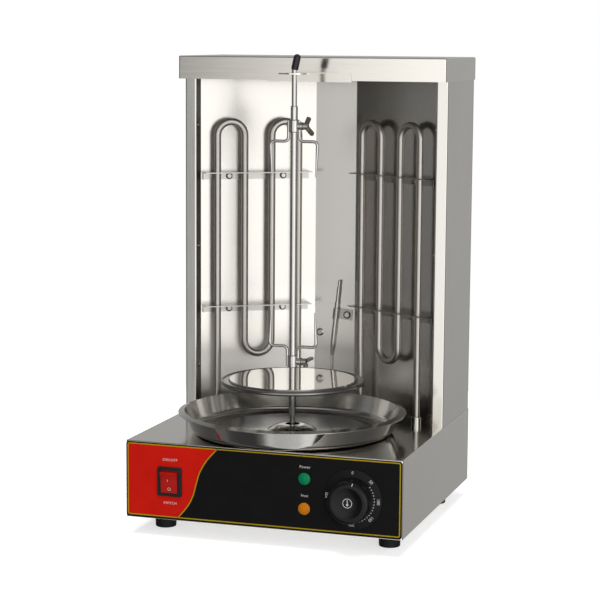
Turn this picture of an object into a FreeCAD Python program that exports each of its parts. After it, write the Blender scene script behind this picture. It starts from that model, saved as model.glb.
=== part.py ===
import FreeCAD, Part
import math
import os
import Sketcher

# Vertical doner grill: a heated cabinet with a turning spit over a drip pan.
# Millimetres, +Z up, the front faces -Y, the origin is at the bottom centre of the whole grill.

doc = FreeCAD.newDocument("VerticalDonerGrill")
dim = doc.addObject("Spreadsheet::Sheet", "dim")

SIZES = [
    # Housing
    ("base_width", 290, "width of the base housing"),
    ("base_depth", 282, "depth of the base housing"),
    ("base_height", 79, "height of the base housing"),
    ("base_corner", 1.8, "radius of the upright corners of the base"),
    ("base_fold", 1, "radius of the fold round the top of the base"),
    ("sheet", 1, "sheet thickness of the housing"),
    ("seam_gap", 0.3, "gap between sheets that slide into each other"),
    ("bottom_lip", 12, "height of the turned up lips of the bottom plate"),
    ("vent_length", 46, "length of a vent slot"),
    ("vent_width", 4, "width of a vent slot"),
    ("vent_round", 1.8, "corner radius of a vent slot"),
    ("vent_pitch", 12, "distance from one vent slot to the next"),
    ("vent_rows", 9, "vent slots in one field"),
    ("bottom_vent_inset", 107, "middle of the bottom vents ahead of the base back"),
    ("back_vent_drop", 107, "lower end of the back vents below the cabinet top"),
    ("foot_height", 19, "height of a foot"),
    ("foot_top_radius", 11.5, "radius of a foot at the top"),
    ("foot_tip_radius", 10.7, "radius of a foot at the floor"),
    ("foot_round", 1.2, "radius of the lower edge of a foot"),
    ("foot_recess_radius", 5, "radius of the screw recess in a foot"),
    ("foot_recess_depth", 8, "depth of the screw recess in a foot"),
    ("foot_side", 25, "distance from the base side to the foot centre"),
    ("foot_inset", 46, "distance from the base edge to the foot centre, front and back"),
    ("foot_screw_radius", 2, "shank radius of the foot screws"),
    ("foot_screw_head", 3.8, "head radius of the foot screws"),
    ("foot_screw_height", 2.4, "head height of the foot screws"),
    ("foot_nut_height", 3, "height of the foot screw nuts"),
    ("foot_screw_end", 1, "foot screw above its nut"),
    ("film_margin", 0.5, "bare steel round the control panel film"),
    ("film_thick", 0.5, "thickness of the control panel film"),
    ("film_corner", 3, "corner radius of the control panel film"),
    # Cabinet
    ("cabinet_step", 1, "cabinet wall inside the base side"),
    ("cabinet_inset", 2, "cabinet walls end ahead of the base back"),
    ("cabinet_depth", 116, "depth of the cabinet"),
    ("spit_headroom", 32.1, "spit tube below the holder tongue"),
    ("post_flange", 12.5, "width of the front flange of a side panel"),
    ("post_return", 14, "depth of the return behind the front flange"),
    ("back_flange", 14, "width of the flange that carries the back panel"),
    ("fold_inner", 0.6, "inner radius of a fold"),
    ("reflector_thick", 0.8, "sheet thickness of the reflector"),
    ("reflector_half", 23, "half width of the middle facet of the reflector"),
    ("reflector_space", 33, "middle facet ahead of the back panel"),
    ("reflector_lip", 12, "depth of the lip behind the post return"),
    ("lid_height", 24.1, "height of the lid skirt"),
    ("lid_overhang", 16, "lid front ahead of the cabinet front"),
    ("lid_corner", 1.6, "radius of the upright corners of the lid"),
    ("lid_fold", 1.4, "radius of the fold round the top of the lid"),
    ("holder_thick", 1.2, "sheet thickness of the spit holder"),
    ("holder_width", 92, "width of the holder flange on the lid"),
    ("holder_drop", 1.5, "how far the holder flange reaches below the lid"),
    ("holder_chamfer", 1.5, "chamfer at the ends of the holder flange"),
    ("holder_rise", 8.5, "tongue top above the lower edge of the lid"),
    ("tongue_width", 32, "width of the holder tongue"),
    # Spit
    ("spit_ahead", 66, "spit axis ahead of the cabinet front"),
    ("spit_lift", 16.8, "lower end of the spit tube above the base"),
    ("spit_length", 318.7, "length of the spit tube"),
    ("tube_radius", 3.7, "outer radius of the spit tube"),
    ("shaft_radius", 2.7, "radius of the drive shaft and top pin"),
    ("running_fit", 0.08, "radial clearance of parts that turn or slide"),
    ("press_fit", 0.02, "radial clearance of parts that are pressed on"),
    ("thread_fit", 0.03, "radial clearance of a thread"),
    ("edge_break", 0.5, "chamfer of turned and moulded edges"),
    ("shaft_shoulder", 4, "radius of the drive shaft in its bush"),
    ("shaft_entry", 12, "drive shaft inside the spit tube"),
    ("shaft_step", 0.6, "shoulder of the drive shaft above its bush"),
    ("cross_pin_radius", 0.8, "radius of the cross pin that drives the spit"),
    ("cross_pin_height", 2.5, "cross pin above the lower end of the spit tube"),
    ("pin_entry", 15.5, "top pin inside the spit tube"),
    ("grip_gap", 2.8, "grip above the holder tongue"),
    ("grip_length", 16.5, "length of the black grip"),
    ("grip_radius", 3.7, "radius of the black grip"),
    ("grip_lean", 12.5, "lean of the grip in degrees"),
    ("grip_clear", 0.6, "grip above the bend of the pin"),
    ("grip_end", 4.6, "solid end of the grip"),
    ("plate_height", 55.3, "top of the meat plate above the base"),
    ("plate_flat_radius", 65, "radius of the flat of the meat plate"),
    ("plate_radius", 75, "outer radius of the meat plate"),
    ("plate_thick", 1.2, "thickness of the meat plate"),
    ("plate_step", 1.2, "width of the pressed step round the flat of the meat plate"),
    ("plate_groove", 1.9, "depth of the groove between the flat and the bead of the meat plate"),
    ("plate_bead", 2.1, "radius of the bead round the meat plate"),
    ("plate_bead_drop", 2.9, "centre of the bead below the top of the meat plate"),
    ("collar_radius", 7, "radius of the collar under the meat plate"),
    ("collar_height", 13, "height of the collar under the meat plate"),
    ("collar_break", 1, "chamfer of the collar"),
    ("fork_clamp_radius", 5.4, "outer radius of a fork clamp"),
    ("fork_clamp_height", 13, "height of a fork clamp"),
    ("fork_clamp_round", 1.2, "radius of the ends of a fork clamp"),
    ("fork_boss_start", 0.6, "boss start outside the bore"),
    ("fork_wire", 1.6, "wire radius of a fork"),
    ("fork_root", 1.75, "radius of a prong at the wire bend"),
    ("fork_joint", 1, "wire inside the foot of a prong"),
    ("fork_neck", 0.5, "wire axis outside the clamp surface"),
    ("fork_neck_top", 5.2, "wire end above the clamp centre"),
    ("fork_span", 50, "distance between the prongs of a fork"),
    ("fork_arm", 15.5, "fork arm above or below the clamp centre"),
    ("fork_prong", 36, "length of a prong from the arm to its tip"),
    ("fork_bend", 4.5, "bend radius of the fork wire"),
    ("fork_point", 0.7, "radius of a prong at its tip"),
    ("fork_lean", 1.5, "prong tip nearer to the spit than its root"),
    ("upper_fork_drop", 20.2, "upper fork clamp centre below the top of the spit tube"),
    ("lower_fork_rise", 18.1, "lower fork clamp centre above the meat plate"),
    ("wing_screw_radius", 2, "shank radius of a wing screw"),
    ("wing_gap", 0.3, "wing screw hub ahead of its boss"),
    ("wing_root", 2.5, "centre line of the wings at the screw axis ahead of the hub face"),
    ("wing_boss_radius", 4, "radius of the threaded boss of a fork"),
    ("wing_boss_reach", 9.5, "boss face to the spit axis"),
    ("wing_hub_radius", 3.6, "hub radius of a wing screw"),
    ("wing_hub_length", 5, "hub length of a wing screw"),
    ("wing_span", 23.4, "tip to tip width of the wings"),
    ("wing_width", 5, "width of a wing with its round tip"),
    ("wing_thick", 1.8, "thickness of a wing"),
    ("wing_lean", 27, "lean of the wings away from the boss in degrees"),
    ("upper_wing_turn", 36, "upper wing screw turned about its axis in degrees"),
    ("lower_wing_turn", -75, "lower wing screw turned about its axis in degrees"),
    # Drip pan
    ("pan_radius", 118, "outer radius of the rolled rim of the pan"),
    ("pan_rim", 6, "width of the pan rim"),
    ("pan_rim_drop", 1.6, "how far the rim slopes down to its edge"),
    ("pan_foot_width", 9, "width of the foot ring of the pan"),
    ("pan_step_width", 6, "width of the step inside the foot ring"),
    ("pan_step", 2, "floor of the pan above the base"),
    ("pan_knee_round", 10, "outer radius of the curve between floor and wall of the pan"),
    ("pan_wall_angle", 70, "slope of the pan wall in degrees"),
    ("pan_height", 23, "height of the pan"),
    ("pan_thick", 0.8, "sheet thickness of the pan"),
    ("pan_dome_round", 27, "radius of the curve of the raised centre"),
    ("pan_dome_flat", 8.5, "radius of the flat on the raised centre"),
    ("pan_dome_height", 8, "top of the raised centre above the base"),
    ("pan_hole_radius", 7.2, "radius of the hole in the pan"),
    # Heating elements
    ("element_radius", 3.75, "radius of the heating tube"),
    ("element_pitch", 30, "distance from one leg to the next"),
    ("element_standoff", 12, "tube axis in front of the reflector"),
    ("element_headroom", 65.4, "top of the upper bends below the cabinet top"),
    ("element_low", 58, "underside of the lower bend above the base"),
    ("element_tail", 22, "tube inside the base"),
    ("terminal_radius", 1.6, "radius of a terminal pin"),
    ("terminal_length", 10, "length of a terminal pin"),
    ("ferrule_radius", 5.4, "radius of the ferrule at the foot of a leg"),
    ("ferrule_height", 8, "height of the ferrule at the foot of a leg"),
    ("ferrule_round", 1, "radius of the upper edge of a ferrule"),
    ("bracket_height", 8.5, "height of the bracket flange on the reflector"),
    ("bracket_reach", 18.5, "depth of the bracket flange round the tubes"),
    ("bracket_inner_margin", 8.5, "bracket end to the fold by the middle facet"),
    ("bracket_outer_margin", 3, "bracket end to the fold by the post"),
    ("bracket_thick", 1, "sheet thickness of a bracket"),
    ("bracket_tab", 5, "depth of the turned tab at the outer end of a bracket"),
    ("upper_bracket_drop", 58, "upper bracket below the top of the bends"),
    ("lower_bracket_rise", 57.5, "lower bracket above the lower bend"),
    ("screw_head_radius", 3.6, "head radius of the bracket screws"),
    ("screw_head_height", 2.4, "head height of the bracket screws"),
    ("screw_radius", 2, "shank radius of the bracket screws"),
    ("screw_reach", 3, "screw end behind the sheets it holds"),
    ("screw_crown", 0.62, "crown radius of a pan head as a share of its head radius"),
    ("small_head_radius", 2.6, "head radius of the sheet screws"),
    ("small_head_height", 1.8, "head height of the sheet screws"),
    ("small_screw_radius", 1.4, "shank radius of the sheet screws"),
    ("post_screw_first", 51, "lowest post screw above the base"),
    ("post_screw_pitch", 130, "distance from one post screw to the next"),
    ("post_screw_inset", 6, "post screw behind the cabinet front"),
    # Thermostat probe
    ("bulb_radius", 2.3, "radius of the thermostat bulb"),
    ("bulb_neck_radius", 1.8, "radius of the bulb above its clip"),
    ("bulb_cap_radius", 1.4, "radius of the closed end of the bulb"),
    ("bulb_cap", 9, "length of the closed end of the bulb"),
    ("bulb_taper", 12, "length of the tapered lower end of the bulb"),
    ("bulb_length", 84, "length of the thermostat bulb"),
    ("bulb_lean", 6, "lean of the bulb in degrees"),
    ("bulb_foot_x", -2.6, "lower end of the bulb to the right of the middle"),
    ("bulb_foot", 56.8, "lower end of the bulb above the base"),
    ("capillary_radius", 0.7, "radius of the capillary tube"),
    ("capillary_tail", 15, "capillary tube below the top of the base"),
    ("clip_thick", 1, "sheet thickness of the bulb clip"),
    ("clip_height", 11.5, "height of the bulb clip"),
    ("clip_height_on_bulb", 47, "clip centre above the lower end of the bulb"),
    ("clip_reach", 18, "bulb clip from the bulb axis to its far end"),
    ("clip_screw_inset", 5.6, "clip screw from the far end of the clip"),
    ("probe_head_radius", 4.2, "head radius of the screws by the bulb"),
    ("spare_screw_x", -16.7, "screw left of the bulb from the middle"),
    ("spare_screw", 81.5, "screw left of the bulb above the base"),
    # Drive
    ("bush_radius", 6, "outer radius of the shaft bush"),
    ("bush_flange", 9, "radius of the bush flange"),
    ("bush_height", 4.5, "bush above the base"),
    ("bush_tail", 5, "bush below the top sheet"),
    ("bush_rim", 1.5, "thickness of the bush flange"),
    ("motor_radius", 26, "radius of the gear motor"),
    ("motor_height", 34, "height of the gear motor"),
    ("motor_gearbox", 12, "height of the narrower gearbox of the motor"),
    ("motor_step", 3, "gearbox radius less than the motor radius"),
    ("motor_break", 2, "chamfer of the motor case"),
    ("motor_socket", 8, "depth of the shaft socket in the gearbox"),
    ("socket_gap", 1, "end of the drive shaft above the bottom of its socket"),
    ("motor_plate_width", 84, "width of the motor plate"),
    ("motor_plate_depth", 56, "depth of the motor plate"),
    ("motor_plate_thick", 1.5, "thickness of the motor plate"),
    ("motor_plate_drop", 20, "motor plate below the top sheet of the base"),
    ("motor_plate_corner", 4, "corner radius of the motor plate"),
    ("motor_plate_hole", 6, "radius of the shaft hole in the motor plate"),
    ("standoff_radius", 3.5, "radius of a motor standoff"),
    ("standoff_inset", 7, "standoff axis from the plate edges"),
    # Controls
    ("switch_x", -97.1, "rocker switch from the middle"),
    ("switch_height", 39.5, "rocker switch above the base underside"),
    ("switch_width", 26, "width of the switch bezel"),
    ("switch_tall", 30, "height of the switch bezel"),
    ("switch_bezel", 2, "thickness of the switch bezel"),
    ("switch_corner", 2, "corner radius of the switch bezel"),
    ("switch_round", 0.8, "radius of the front edge of the switch bezel"),
    ("switch_rim", 2.2, "bezel outside its cut-out"),
    ("switch_body_depth", 20, "switch body behind the front sheet"),
    ("switch_well", 9, "depth of the rocker well behind the bezel face"),
    ("rocker_width", 17.4, "width of the rocker"),
    ("rocker_half", 10.9, "half height of the rocker"),
    ("rocker_crease", 3.4, "crease of the rocker above its axis"),
    ("rocker_hollow", 1.8, "depth of the crease behind the rocker ends"),
    ("rocker_back", 5, "back of the rocker behind its axis"),
    ("rocker_back_half", 3.5, "half height of the back of the rocker"),
    ("rocker_tilt", 11, "tilt of the rocker either way in degrees"),
    ("rocker_rise", 2.6, "ends of the rocker ahead of the bezel when level"),
    ("rocker_play", 0.7, "gap between the rocker and its opening"),
    ("lamp_x", 45.1, "lamps from the middle"),
    ("lamp_upper", 53.7, "upper lamp above the base underside"),
    ("lamp_lower", 23.5, "lower lamp above the base underside"),
    ("lamp_radius", 4.6, "radius of a lamp body"),
    ("lamp_lens", 6, "radius of a lamp lens"),
    ("lamp_rim", 1.2, "thickness of the edge of a lamp lens"),
    ("lamp_dome", 2, "rise of the curved lamp face"),
    ("lamp_nut_height", 3, "height of a lamp nut"),
    ("lamp_depth", 20, "lamp body behind the front sheet"),
    ("dial_x", 94.5, "thermostat axis from the middle"),
    ("dial_height", 37, "thermostat axis above the base underside"),
    ("dial_radius", 30, "radius of the dial ring"),
    ("dial_thick", 2.4, "thickness of the dial ring at its middle"),
    ("dial_edge", 1, "thickness of the dial ring at its edge"),
    ("dial_land", 0.6, "flat of the dial ring outside the knob"),
    ("knob_radius", 22, "radius of the knob"),
    ("knob_length", 17, "length of the knob"),
    ("knob_round", 4.5, "radius of the front edge of the knob"),
    ("knob_taper", 0.4, "knob radius less at the front"),
    ("knob_dish_radius", 15.5, "radius of the dish in the knob face"),
    ("knob_disc_radius", 6, "radius of the flat disc in the dish"),
    ("knob_dish", 1.6, "depth of the dish in the knob face"),
    ("knob_gap", 0.4, "gap between the knob and the dial ring"),
    ("knob_wall", 3, "wall of the knob round its hollow"),
    ("knob_hollow", 7, "depth of the hollow behind the knob"),
    ("knob_sleeve", 3, "wall of the sleeve round the thermostat shaft"),
    ("knob_sleeve_setback", 2, "end of the sleeve ahead of the hollow bottom"),
    ("knob_face", 3.5, "knob material ahead of the shaft"),
    ("knob_shaft_radius", 3, "radius of the thermostat shaft"),
    ("neck_radius", 5, "radius of the threaded neck of the thermostat"),
    ("neck_reach", 3.2, "neck ahead of the dial ring"),
    ("shaft_well", 8, "depth of the shaft bearing in the thermostat"),
    ("nut_across", 14, "thermostat nut across its flats"),
    ("nut_height", 2.2, "height of the thermostat nut"),
    ("thermostat_width", 40, "width and height of the thermostat body"),
    ("thermostat_depth", 27, "depth of the thermostat body"),
    ("thermostat_drop", 16, "thermostat body below its axis"),
    ("thermostat_corner", 3, "corner radius of the thermostat body"),
    # Supply entry
    ("gland_x", -95, "cord gland from the middle"),
    ("gland_height", 26, "cord gland above the base underside"),
    ("gland_radius", 11, "radius of the gland flange"),
    ("gland_neck", 8, "radius of the gland thread"),
    ("gland_bore", 4.2, "radius of the gland bore"),
    ("gland_reach", 20.3, "gland behind the base"),
    ("gland_flange", 5, "thickness of the gland flange and nut"),
    ("gland_thread_end", 4, "gland thread inside its nut"),
    ("gland_step", 1.5, "dome of the gland inside its flange"),
    ("gland_taper", 6, "length of the tapered end of the gland"),
    ("gland_lip", 2, "wall round the bore at the gland end"),
    ("block_length", 52, "length of the terminal block"),
    ("block_width", 18, "width of the terminal block"),
    ("block_height", 14, "height of the terminal block"),
    ("block_step", 7.7, "height of the steps of the terminal block"),
    ("block_from_back", 60, "terminal block ahead of the base back"),
    ("block_offset", -60, "terminal block from the middle"),
    ("block_slots", 5, "screw slots in the terminal block"),
    ("block_slot", 4, "length of a screw slot and its distance from the block end"),
    ("block_slot_width", 3.6, "width of a screw slot"),
    ("block_slot_depth", 5, "depth of a screw slot"),
]

for row, (alias, value, note) in enumerate(SIZES, start=1):
    dim.set(f"A{row}", note)
    dim.set(f"B{row}", str(value))
    dim.setAlias(f"B{row}", alias)
doc.recompute()

# Levels and places that follow from the sizes.
KNOB_REACH = "(dim.film_thick + dim.dial_thick + dim.knob_gap + dim.knob_length)"
FRONT = f"(({KNOB_REACH} - dim.base_depth - dim.gland_reach) / 2)"
BACK = f"({FRONT} + dim.base_depth)"
BASE_TOP = "(dim.foot_height + dim.base_height)"
CABINET_SETBACK = "(dim.base_depth - dim.cabinet_inset - dim.cabinet_depth)"
SPIT_SETBACK = f"({CABINET_SETBACK} - dim.spit_ahead)"
CABINET_FRONT = f"({FRONT} + {CABINET_SETBACK})"
SPIT_Y = f"({FRONT} + {SPIT_SETBACK})"
CABINET_BACK = f"({CABINET_FRONT} + dim.cabinet_depth)"
CABINET_WIDTH = "(dim.base_width - 2 * dim.cabinet_step)"
CABINET_HEIGHT = ("(dim.spit_lift + dim.spit_length + dim.spit_headroom + dim.holder_thick"
                  " - dim.holder_rise + dim.lid_height - dim.sheet)")
CABINET_TOP = f"({BASE_TOP} + {CABINET_HEIGHT})"
LID_TOP = f"({CABINET_TOP} + dim.sheet)"
LID_LOW = f"({LID_TOP} - dim.lid_height)"
LID_FRONT = f"({CABINET_FRONT} - dim.lid_overhang)"
TONGUE_TOP = f"({LID_LOW} + dim.holder_rise)"
RETURN_X = f"({CABINET_WIDTH} / 2 - dim.post_flange)"
REFLECTOR_SETBACK = f"({CABINET_SETBACK} + dim.cabinet_depth - dim.reflector_space)"
FACET_Y = f"({FRONT} + {REFLECTOR_SETBACK})"
LIP_X = f"({RETURN_X} + dim.sheet + dim.seam_gap)"
FACET_RUN = f"({LIP_X} - dim.reflector_half)"
FACET_FALL = "(dim.cabinet_depth - dim.reflector_space - dim.post_return - dim.seam_gap)"
FACET_ANGLE = f"atan2({FACET_FALL}; {FACET_RUN})"
FACET_LENGTH = f"sqrt({FACET_RUN} ^ 2 + {FACET_FALL} ^ 2)"
ELEMENT_CENTRE = f"(({FACET_LENGTH} + dim.bracket_inner_margin - dim.bracket_outer_margin) / 2)"
BRACKET_HALF = f"(({FACET_LENGTH} - dim.bracket_inner_margin - dim.bracket_outer_margin) / 2)"
ELEMENT_TOP = f"({CABINET_HEIGHT} - dim.element_headroom)"
UPPER_BRACKET = f"({ELEMENT_TOP} - dim.upper_bracket_drop)"
LOWER_BRACKET = "(dim.element_low + dim.lower_bracket_rise)"
UPPER_FORK = "(dim.spit_lift + dim.spit_length - dim.upper_fork_drop)"
LOWER_FORK = "(dim.plate_height + dim.lower_fork_rise)"
SHAFT_BORE = "(dim.shaft_radius + dim.running_fit)"
LEG_BORE = "(dim.element_radius + dim.seam_gap)"
SCREW_DROP = "((dim.bracket_height + dim.bracket_thick) / 2)"
PROBE_AHEAD = "(dim.bulb_radius + dim.clip_thick + dim.seam_gap)"

subparts = []


def number(text):
    value = dim.evalExpression(str(text))
    return float(getattr(value, "Value", value))


def place(item, x="0", y="0", z="0", turn="0", axis=(0, 0, 1)):
    spin = f"create(<<rotation>>; create(<<vector>>; {axis[0]}; {axis[1]}; {axis[2]}); {turn})"
    item.setExpression("Placement", f"create(<<placement>>; create(<<vector>>; {x}; {y}; {z}); {spin})")


def subpart(item, label=None):
    if label:
        item.Label = label
    subparts.append(item)
    return item


def newBody(label, x="0", y="0", z="0", turn="0", axis=(0, 0, 1)):
    body = doc.addObject("PartDesign::Body", label)
    place(body, x, y, z, turn, axis)
    return subpart(body, label)


def newSketch(body, role, lift="0"):
    plane = next(item for item in body.Origin.OriginFeatures if item.Role == role + "_Plane")
    sketch = body.newObject("Sketcher::SketchObject", "Sketch")
    sketch.AttachmentSupport = [(plane, "")]
    sketch.MapMode = "FlatFace"
    sketch.setExpression(".AttachmentOffset.Base.z", str(lift))
    return sketch


def bind(sketch, kind, geometry, point, text):
    index = sketch.addConstraint(Sketcher.Constraint(kind, -1, 1, geometry, point, number(text)))
    sketch.setExpression(f"Constraints[{index}]", str(text))


def outline(sketch, corners, closed=True):
    # A corner is (x, y), or (x, y, centre x, centre y, turn) where an arc leads to it.
    spots = [FreeCAD.Vector(number(corner[0]), number(corner[1]), 0) for corner in corners]
    first = sketch.GeometryCount
    spans = len(spots) if closed else len(spots) - 1
    ends = []
    for start in range(spans):
        finish = (start + 1) % len(spots)
        corner = corners[finish]
        if len(corner) == 2:
            sketch.addGeometry(Part.LineSegment(spots[start], spots[finish]))
            ends.append((1, 2))
            continue
        centre = FreeCAD.Vector(number(corner[2]), number(corner[3]), 0)
        tail, head = (start, finish) if corner[4] > 0 else (finish, start)
        angles = [math.atan2(spots[k].y - centre.y, spots[k].x - centre.x) for k in (tail, head)]
        if angles[1] <= angles[0]:
            angles[1] += 2 * math.pi
        circle = Part.Circle(centre, FreeCAD.Vector(0, 0, 1), (spots[tail] - centre).Length)
        sketch.addGeometry(Part.ArcOfCircle(circle, angles[0], angles[1]))
        ends.append((1, 2) if corner[4] > 0 else (2, 1))
    for span in range(spans if closed else spans - 1):
        after = (span + 1) % spans
        sketch.addConstraint(Sketcher.Constraint(
            "Coincident", first + span, ends[span][1], first + after, ends[after][0]))
    for span in range(spans):
        bind(sketch, "DistanceX", first + span, ends[span][0], corners[span][0])
        bind(sketch, "DistanceY", first + span, ends[span][0], corners[span][1])
    if not closed:
        bind(sketch, "DistanceX", first + spans - 1, ends[-1][1], corners[-1][0])
        bind(sketch, "DistanceY", first + spans - 1, ends[-1][1], corners[-1][1])
    for span in range(spans):
        finish = (span + 1) % len(spots)
        if len(corners[finish]) > 2:
            chord = spots[finish] - spots[span]
            if abs(chord.x) > abs(chord.y):
                bind(sketch, "DistanceY", first + span, 3, corners[finish][3])
            else:
                bind(sketch, "DistanceX", first + span, 3, corners[finish][2])


def circle(sketch, x, y, radius):
    centre = FreeCAD.Vector(number(x), number(y), 0)
    index = sketch.addGeometry(Part.Circle(centre, FreeCAD.Vector(0, 0, 1), number(radius)))
    bind(sketch, "DistanceX", index, 3, x)
    bind(sketch, "DistanceY", index, 3, y)
    rule = sketch.addConstraint(Sketcher.Constraint("Radius", index, number(radius)))
    sketch.setExpression(f"Constraints[{rule}]", str(radius))


def rectangle(sketch, left, low, right, high, radius=None):
    if radius is None:
        outline(sketch, [(left, low), (right, low), (right, high), (left, high)])
        return
    x0, x1 = f"({left}) + {radius}", f"({right}) - {radius}"
    y0, y1 = f"({low}) + {radius}", f"({high}) - {radius}"
    outline(sketch, [
        (x0, low, x0, y0, 1), (x1, low),
        (right, y0, x1, y0, 1), (right, y1),
        (x1, high, x1, y1, 1), (x0, high),
        (left, y1, x0, y1, 1), (left, y0),
    ])


def axisLine(sketch, start, finish):
    # Adds a construction line to turn a profile about.
    spots = (start, finish)
    ends = [FreeCAD.Vector(number(x), number(y), 0) for x, y in spots]
    index = sketch.addGeometry(Part.LineSegment(*ends), True)
    for point, (x, y) in enumerate(spots, start=1):
        bind(sketch, "DistanceX", index, point, x)
        bind(sketch, "DistanceY", index, point, y)
    return "Axis0"


def hexagon(sketch, across):
    corner = f"({across}) / sqrt(3)"
    spots = []
    for step in range(6):
        spots.append((f"{corner} * cos({60 * step} deg)", f"{corner} * sin({60 * step} deg)"))
    outline(sketch, spots)


def pad(body, sketch, length, reverse=False, both=False):
    feature = body.newObject("PartDesign::Pad", "Pad")
    feature.Profile = sketch
    feature.Reversed = reverse
    feature.Midplane = both
    feature.setExpression("Length", str(length))
    return feature


def pocket(body, sketch, depth, reverse=False, both=False):
    doc.recompute()
    before = body.Shape.Volume
    feature = body.newObject("PartDesign::Pocket", "Pocket")
    feature.Profile = sketch
    feature.Reversed = reverse
    feature.Midplane = both
    feature.setExpression("Length", str(depth))
    doc.recompute()
    if body.Shape.Volume > before - 1e-6:
        raise ValueError(f"{body.Label}: a pocket cuts nothing")
    return feature


def revolve(body, corners):
    # Turns a closed outline of (radius, height) round the body's own upright axis.
    sketch = newSketch(body, "XZ")
    outline(sketch, corners)
    feature = body.newObject("PartDesign::Revolution", "Revolution")
    feature.Profile = sketch
    feature.ReferenceAxis = (sketch, ["V_Axis"])
    feature.Angle = 360
    return feature


def fillet(body, feature, radius, chosen):
    doc.recompute()
    names = [f"Edge{k}" for k, edge in enumerate(feature.Shape.Edges, start=1) if chosen(edge)]
    if not names:
        raise ValueError(f"{body.Label}: no edge to round")
    item = body.newObject("PartDesign::Fillet", "Fillet")
    item.Base = (feature, names)
    item.setExpression("Radius", str(radius))
    return item


def pipe(body, plane, path, radius, lift="0"):
    # Sweeps a round section along a path whose first run is upright in the sketch.
    spine = newSketch(body, plane, lift)
    outline(spine, path, closed=False)
    section = newSketch(body, "XY", path[0][1])
    circle(section, path[0][0], f"-({lift})", radius)
    doc.recompute()
    feature = body.newObject("PartDesign::AdditivePipe", "Pipe")
    feature.Profile = section
    feature.Spine = (spine, [f"Edge{k + 1}" for k in range(len(spine.Shape.Edges))])
    return feature


def slotRow(body, sketch, count, pitch, depth, reverse=False):
    first = pocket(body, sketch, depth, reverse)
    pattern = body.newObject("PartDesign::LinearPattern", "Row")
    pattern.Originals = [first]
    pattern.Direction = (sketch, ["H_Axis"])
    pattern.setExpression("Length", f"({count} - 1) * {pitch}")
    pattern.setExpression("Occurrences", str(count))
    body.Tip = pattern
    doc.recompute()
    return pattern


def cylinder(radius, height, x="0", y="0", z="0", turn="0", axis=(0, 0, 1)):
    item = doc.addObject("Part::Cylinder", "Cylinder")
    item.setExpression("Radius", str(radius))
    item.setExpression("Height", str(height))
    place(item, x, y, z, turn, axis)
    return item


def cone(low, high, height, z="0"):
    item = doc.addObject("Part::Cone", "Cone")
    item.setExpression("Radius1", str(low))
    item.setExpression("Radius2", str(high))
    item.setExpression("Height", str(height))
    place(item, z=z)
    return item


def fuse(items):
    item = doc.addObject("Part::MultiFuse", "Fuse")
    item.Shapes = items
    item.Refine = True
    return item


def cut(base, tool):
    item = doc.addObject("Part::Cut", "Cut")
    item.Base = base
    item.Tool = tool
    return item


def compound(label, model, places):
    # Puts a copy of one model at each place and keeps them as separate solids.
    copies = []
    for x, y, z, turn, axis in places:
        copy = doc.addObject("App::Link", "Copy")
        copy.LinkedObject = model
        copy.LinkTransform = True
        place(copy, x, y, z, turn, axis)
        copies.append(copy)
    whole = doc.addObject("Part::Compound", label)
    whole.Links = copies
    return whole


def group(label, model, places):
    return subpart(compound(label, model, places), label)


def drill(names, places, radius):
    # Opens clearance holes in the named sheets where the screws pass.
    reach = 4
    tool = compound("Drills", cylinder(radius, 2 * reach, z=-reach), places)
    for name in names:
        sheet = next(item for item in subparts if item.Label == name)
        sheet.Label = name + "_blank"
        drilled = cut(sheet, tool)
        drilled.Label = name
        subparts[subparts.index(sheet)] = drilled


def panScrew(head, rise, shank, length):
    # Head upwards from z = 0, shank downwards.
    crown = cone(head, f"({head}) * dim.screw_crown", f"({rise}) / 2", f"({rise}) / 2")
    rim = cylinder(head, f"({rise}) / 2")
    stem = cylinder(shank, length, z=f"-({length})")
    return fuse([rim, crown, stem])


def foldedSheet(label, path, thickness, low, height):
    # Bends a sheet along an open path seen from above and rounds its folds.
    sketch = doc.addObject("Sketcher::SketchObject", "Path")
    outline(sketch, path, closed=False)
    skin = doc.addObject("Part::Offset2D", "Skin")
    skin.Source = sketch
    skin.Mode = "Skin"
    skin.Join = "Intersection"
    skin.Fill = True
    skin.setExpression("Value", thickness)
    wall = doc.addObject("Part::Extrusion", "Wall")
    wall.Base = skin
    wall.DirMode = "Custom"
    wall.Dir = FreeCAD.Vector(0, 0, 1)
    wall.Solid = True
    wall.setExpression("LengthFwd", height)
    place(wall, z=low)
    doc.recompute()
    shape = wall.Shape
    gauge = abs(number(thickness))
    rounds = []
    for index, edge in enumerate(shape.Edges, start=1):
        if abs(edge.tangentAt(edge.FirstParameter).z) < 0.99:
            continue
        faces = [face for face in shape.Faces if any(edge.isSame(other) for other in face.Edges)]
        if min(face.Area / edge.Length for face in faces) < 1.5 * gauge:
            continue
        middle = edge.valueAt((edge.FirstParameter + edge.LastParameter) / 2)
        away = FreeCAD.Vector(0, 0, 0)
        for face in faces:
            u, v = face.Surface.parameter(middle)
            away += face.normalAt(u, v)
        concave = shape.isInside(middle + away.normalize() * gauge * 0.3, 1e-6, False)
        radius = number("dim.fold_inner") + (0 if concave else gauge)
        rounds.append((index, radius, radius))
    folds = doc.addObject("Part::Fillet", label)
    folds.Base = wall
    folds.Edges = rounds
    return folds


# Openings in the front that the film and the sheet share.
def frontOpenings(sketch, slack="0"):
    half = f"(dim.switch_width / 2 - dim.switch_rim + {slack})"
    tall = f"(dim.switch_tall / 2 - dim.switch_rim + {slack})"
    rectangle(sketch, f"dim.switch_x - {half}", f"dim.switch_height - {tall}",
              f"dim.switch_x + {half}", f"dim.switch_height + {tall}")
    for level in ("dim.lamp_upper", "dim.lamp_lower"):
        circle(sketch, "dim.lamp_x", level, f"dim.lamp_radius + dim.seam_gap + {slack}")
    circle(sketch, "dim.dial_x", "dim.dial_height", f"dim.neck_radius + dim.seam_gap + {slack}")


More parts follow.
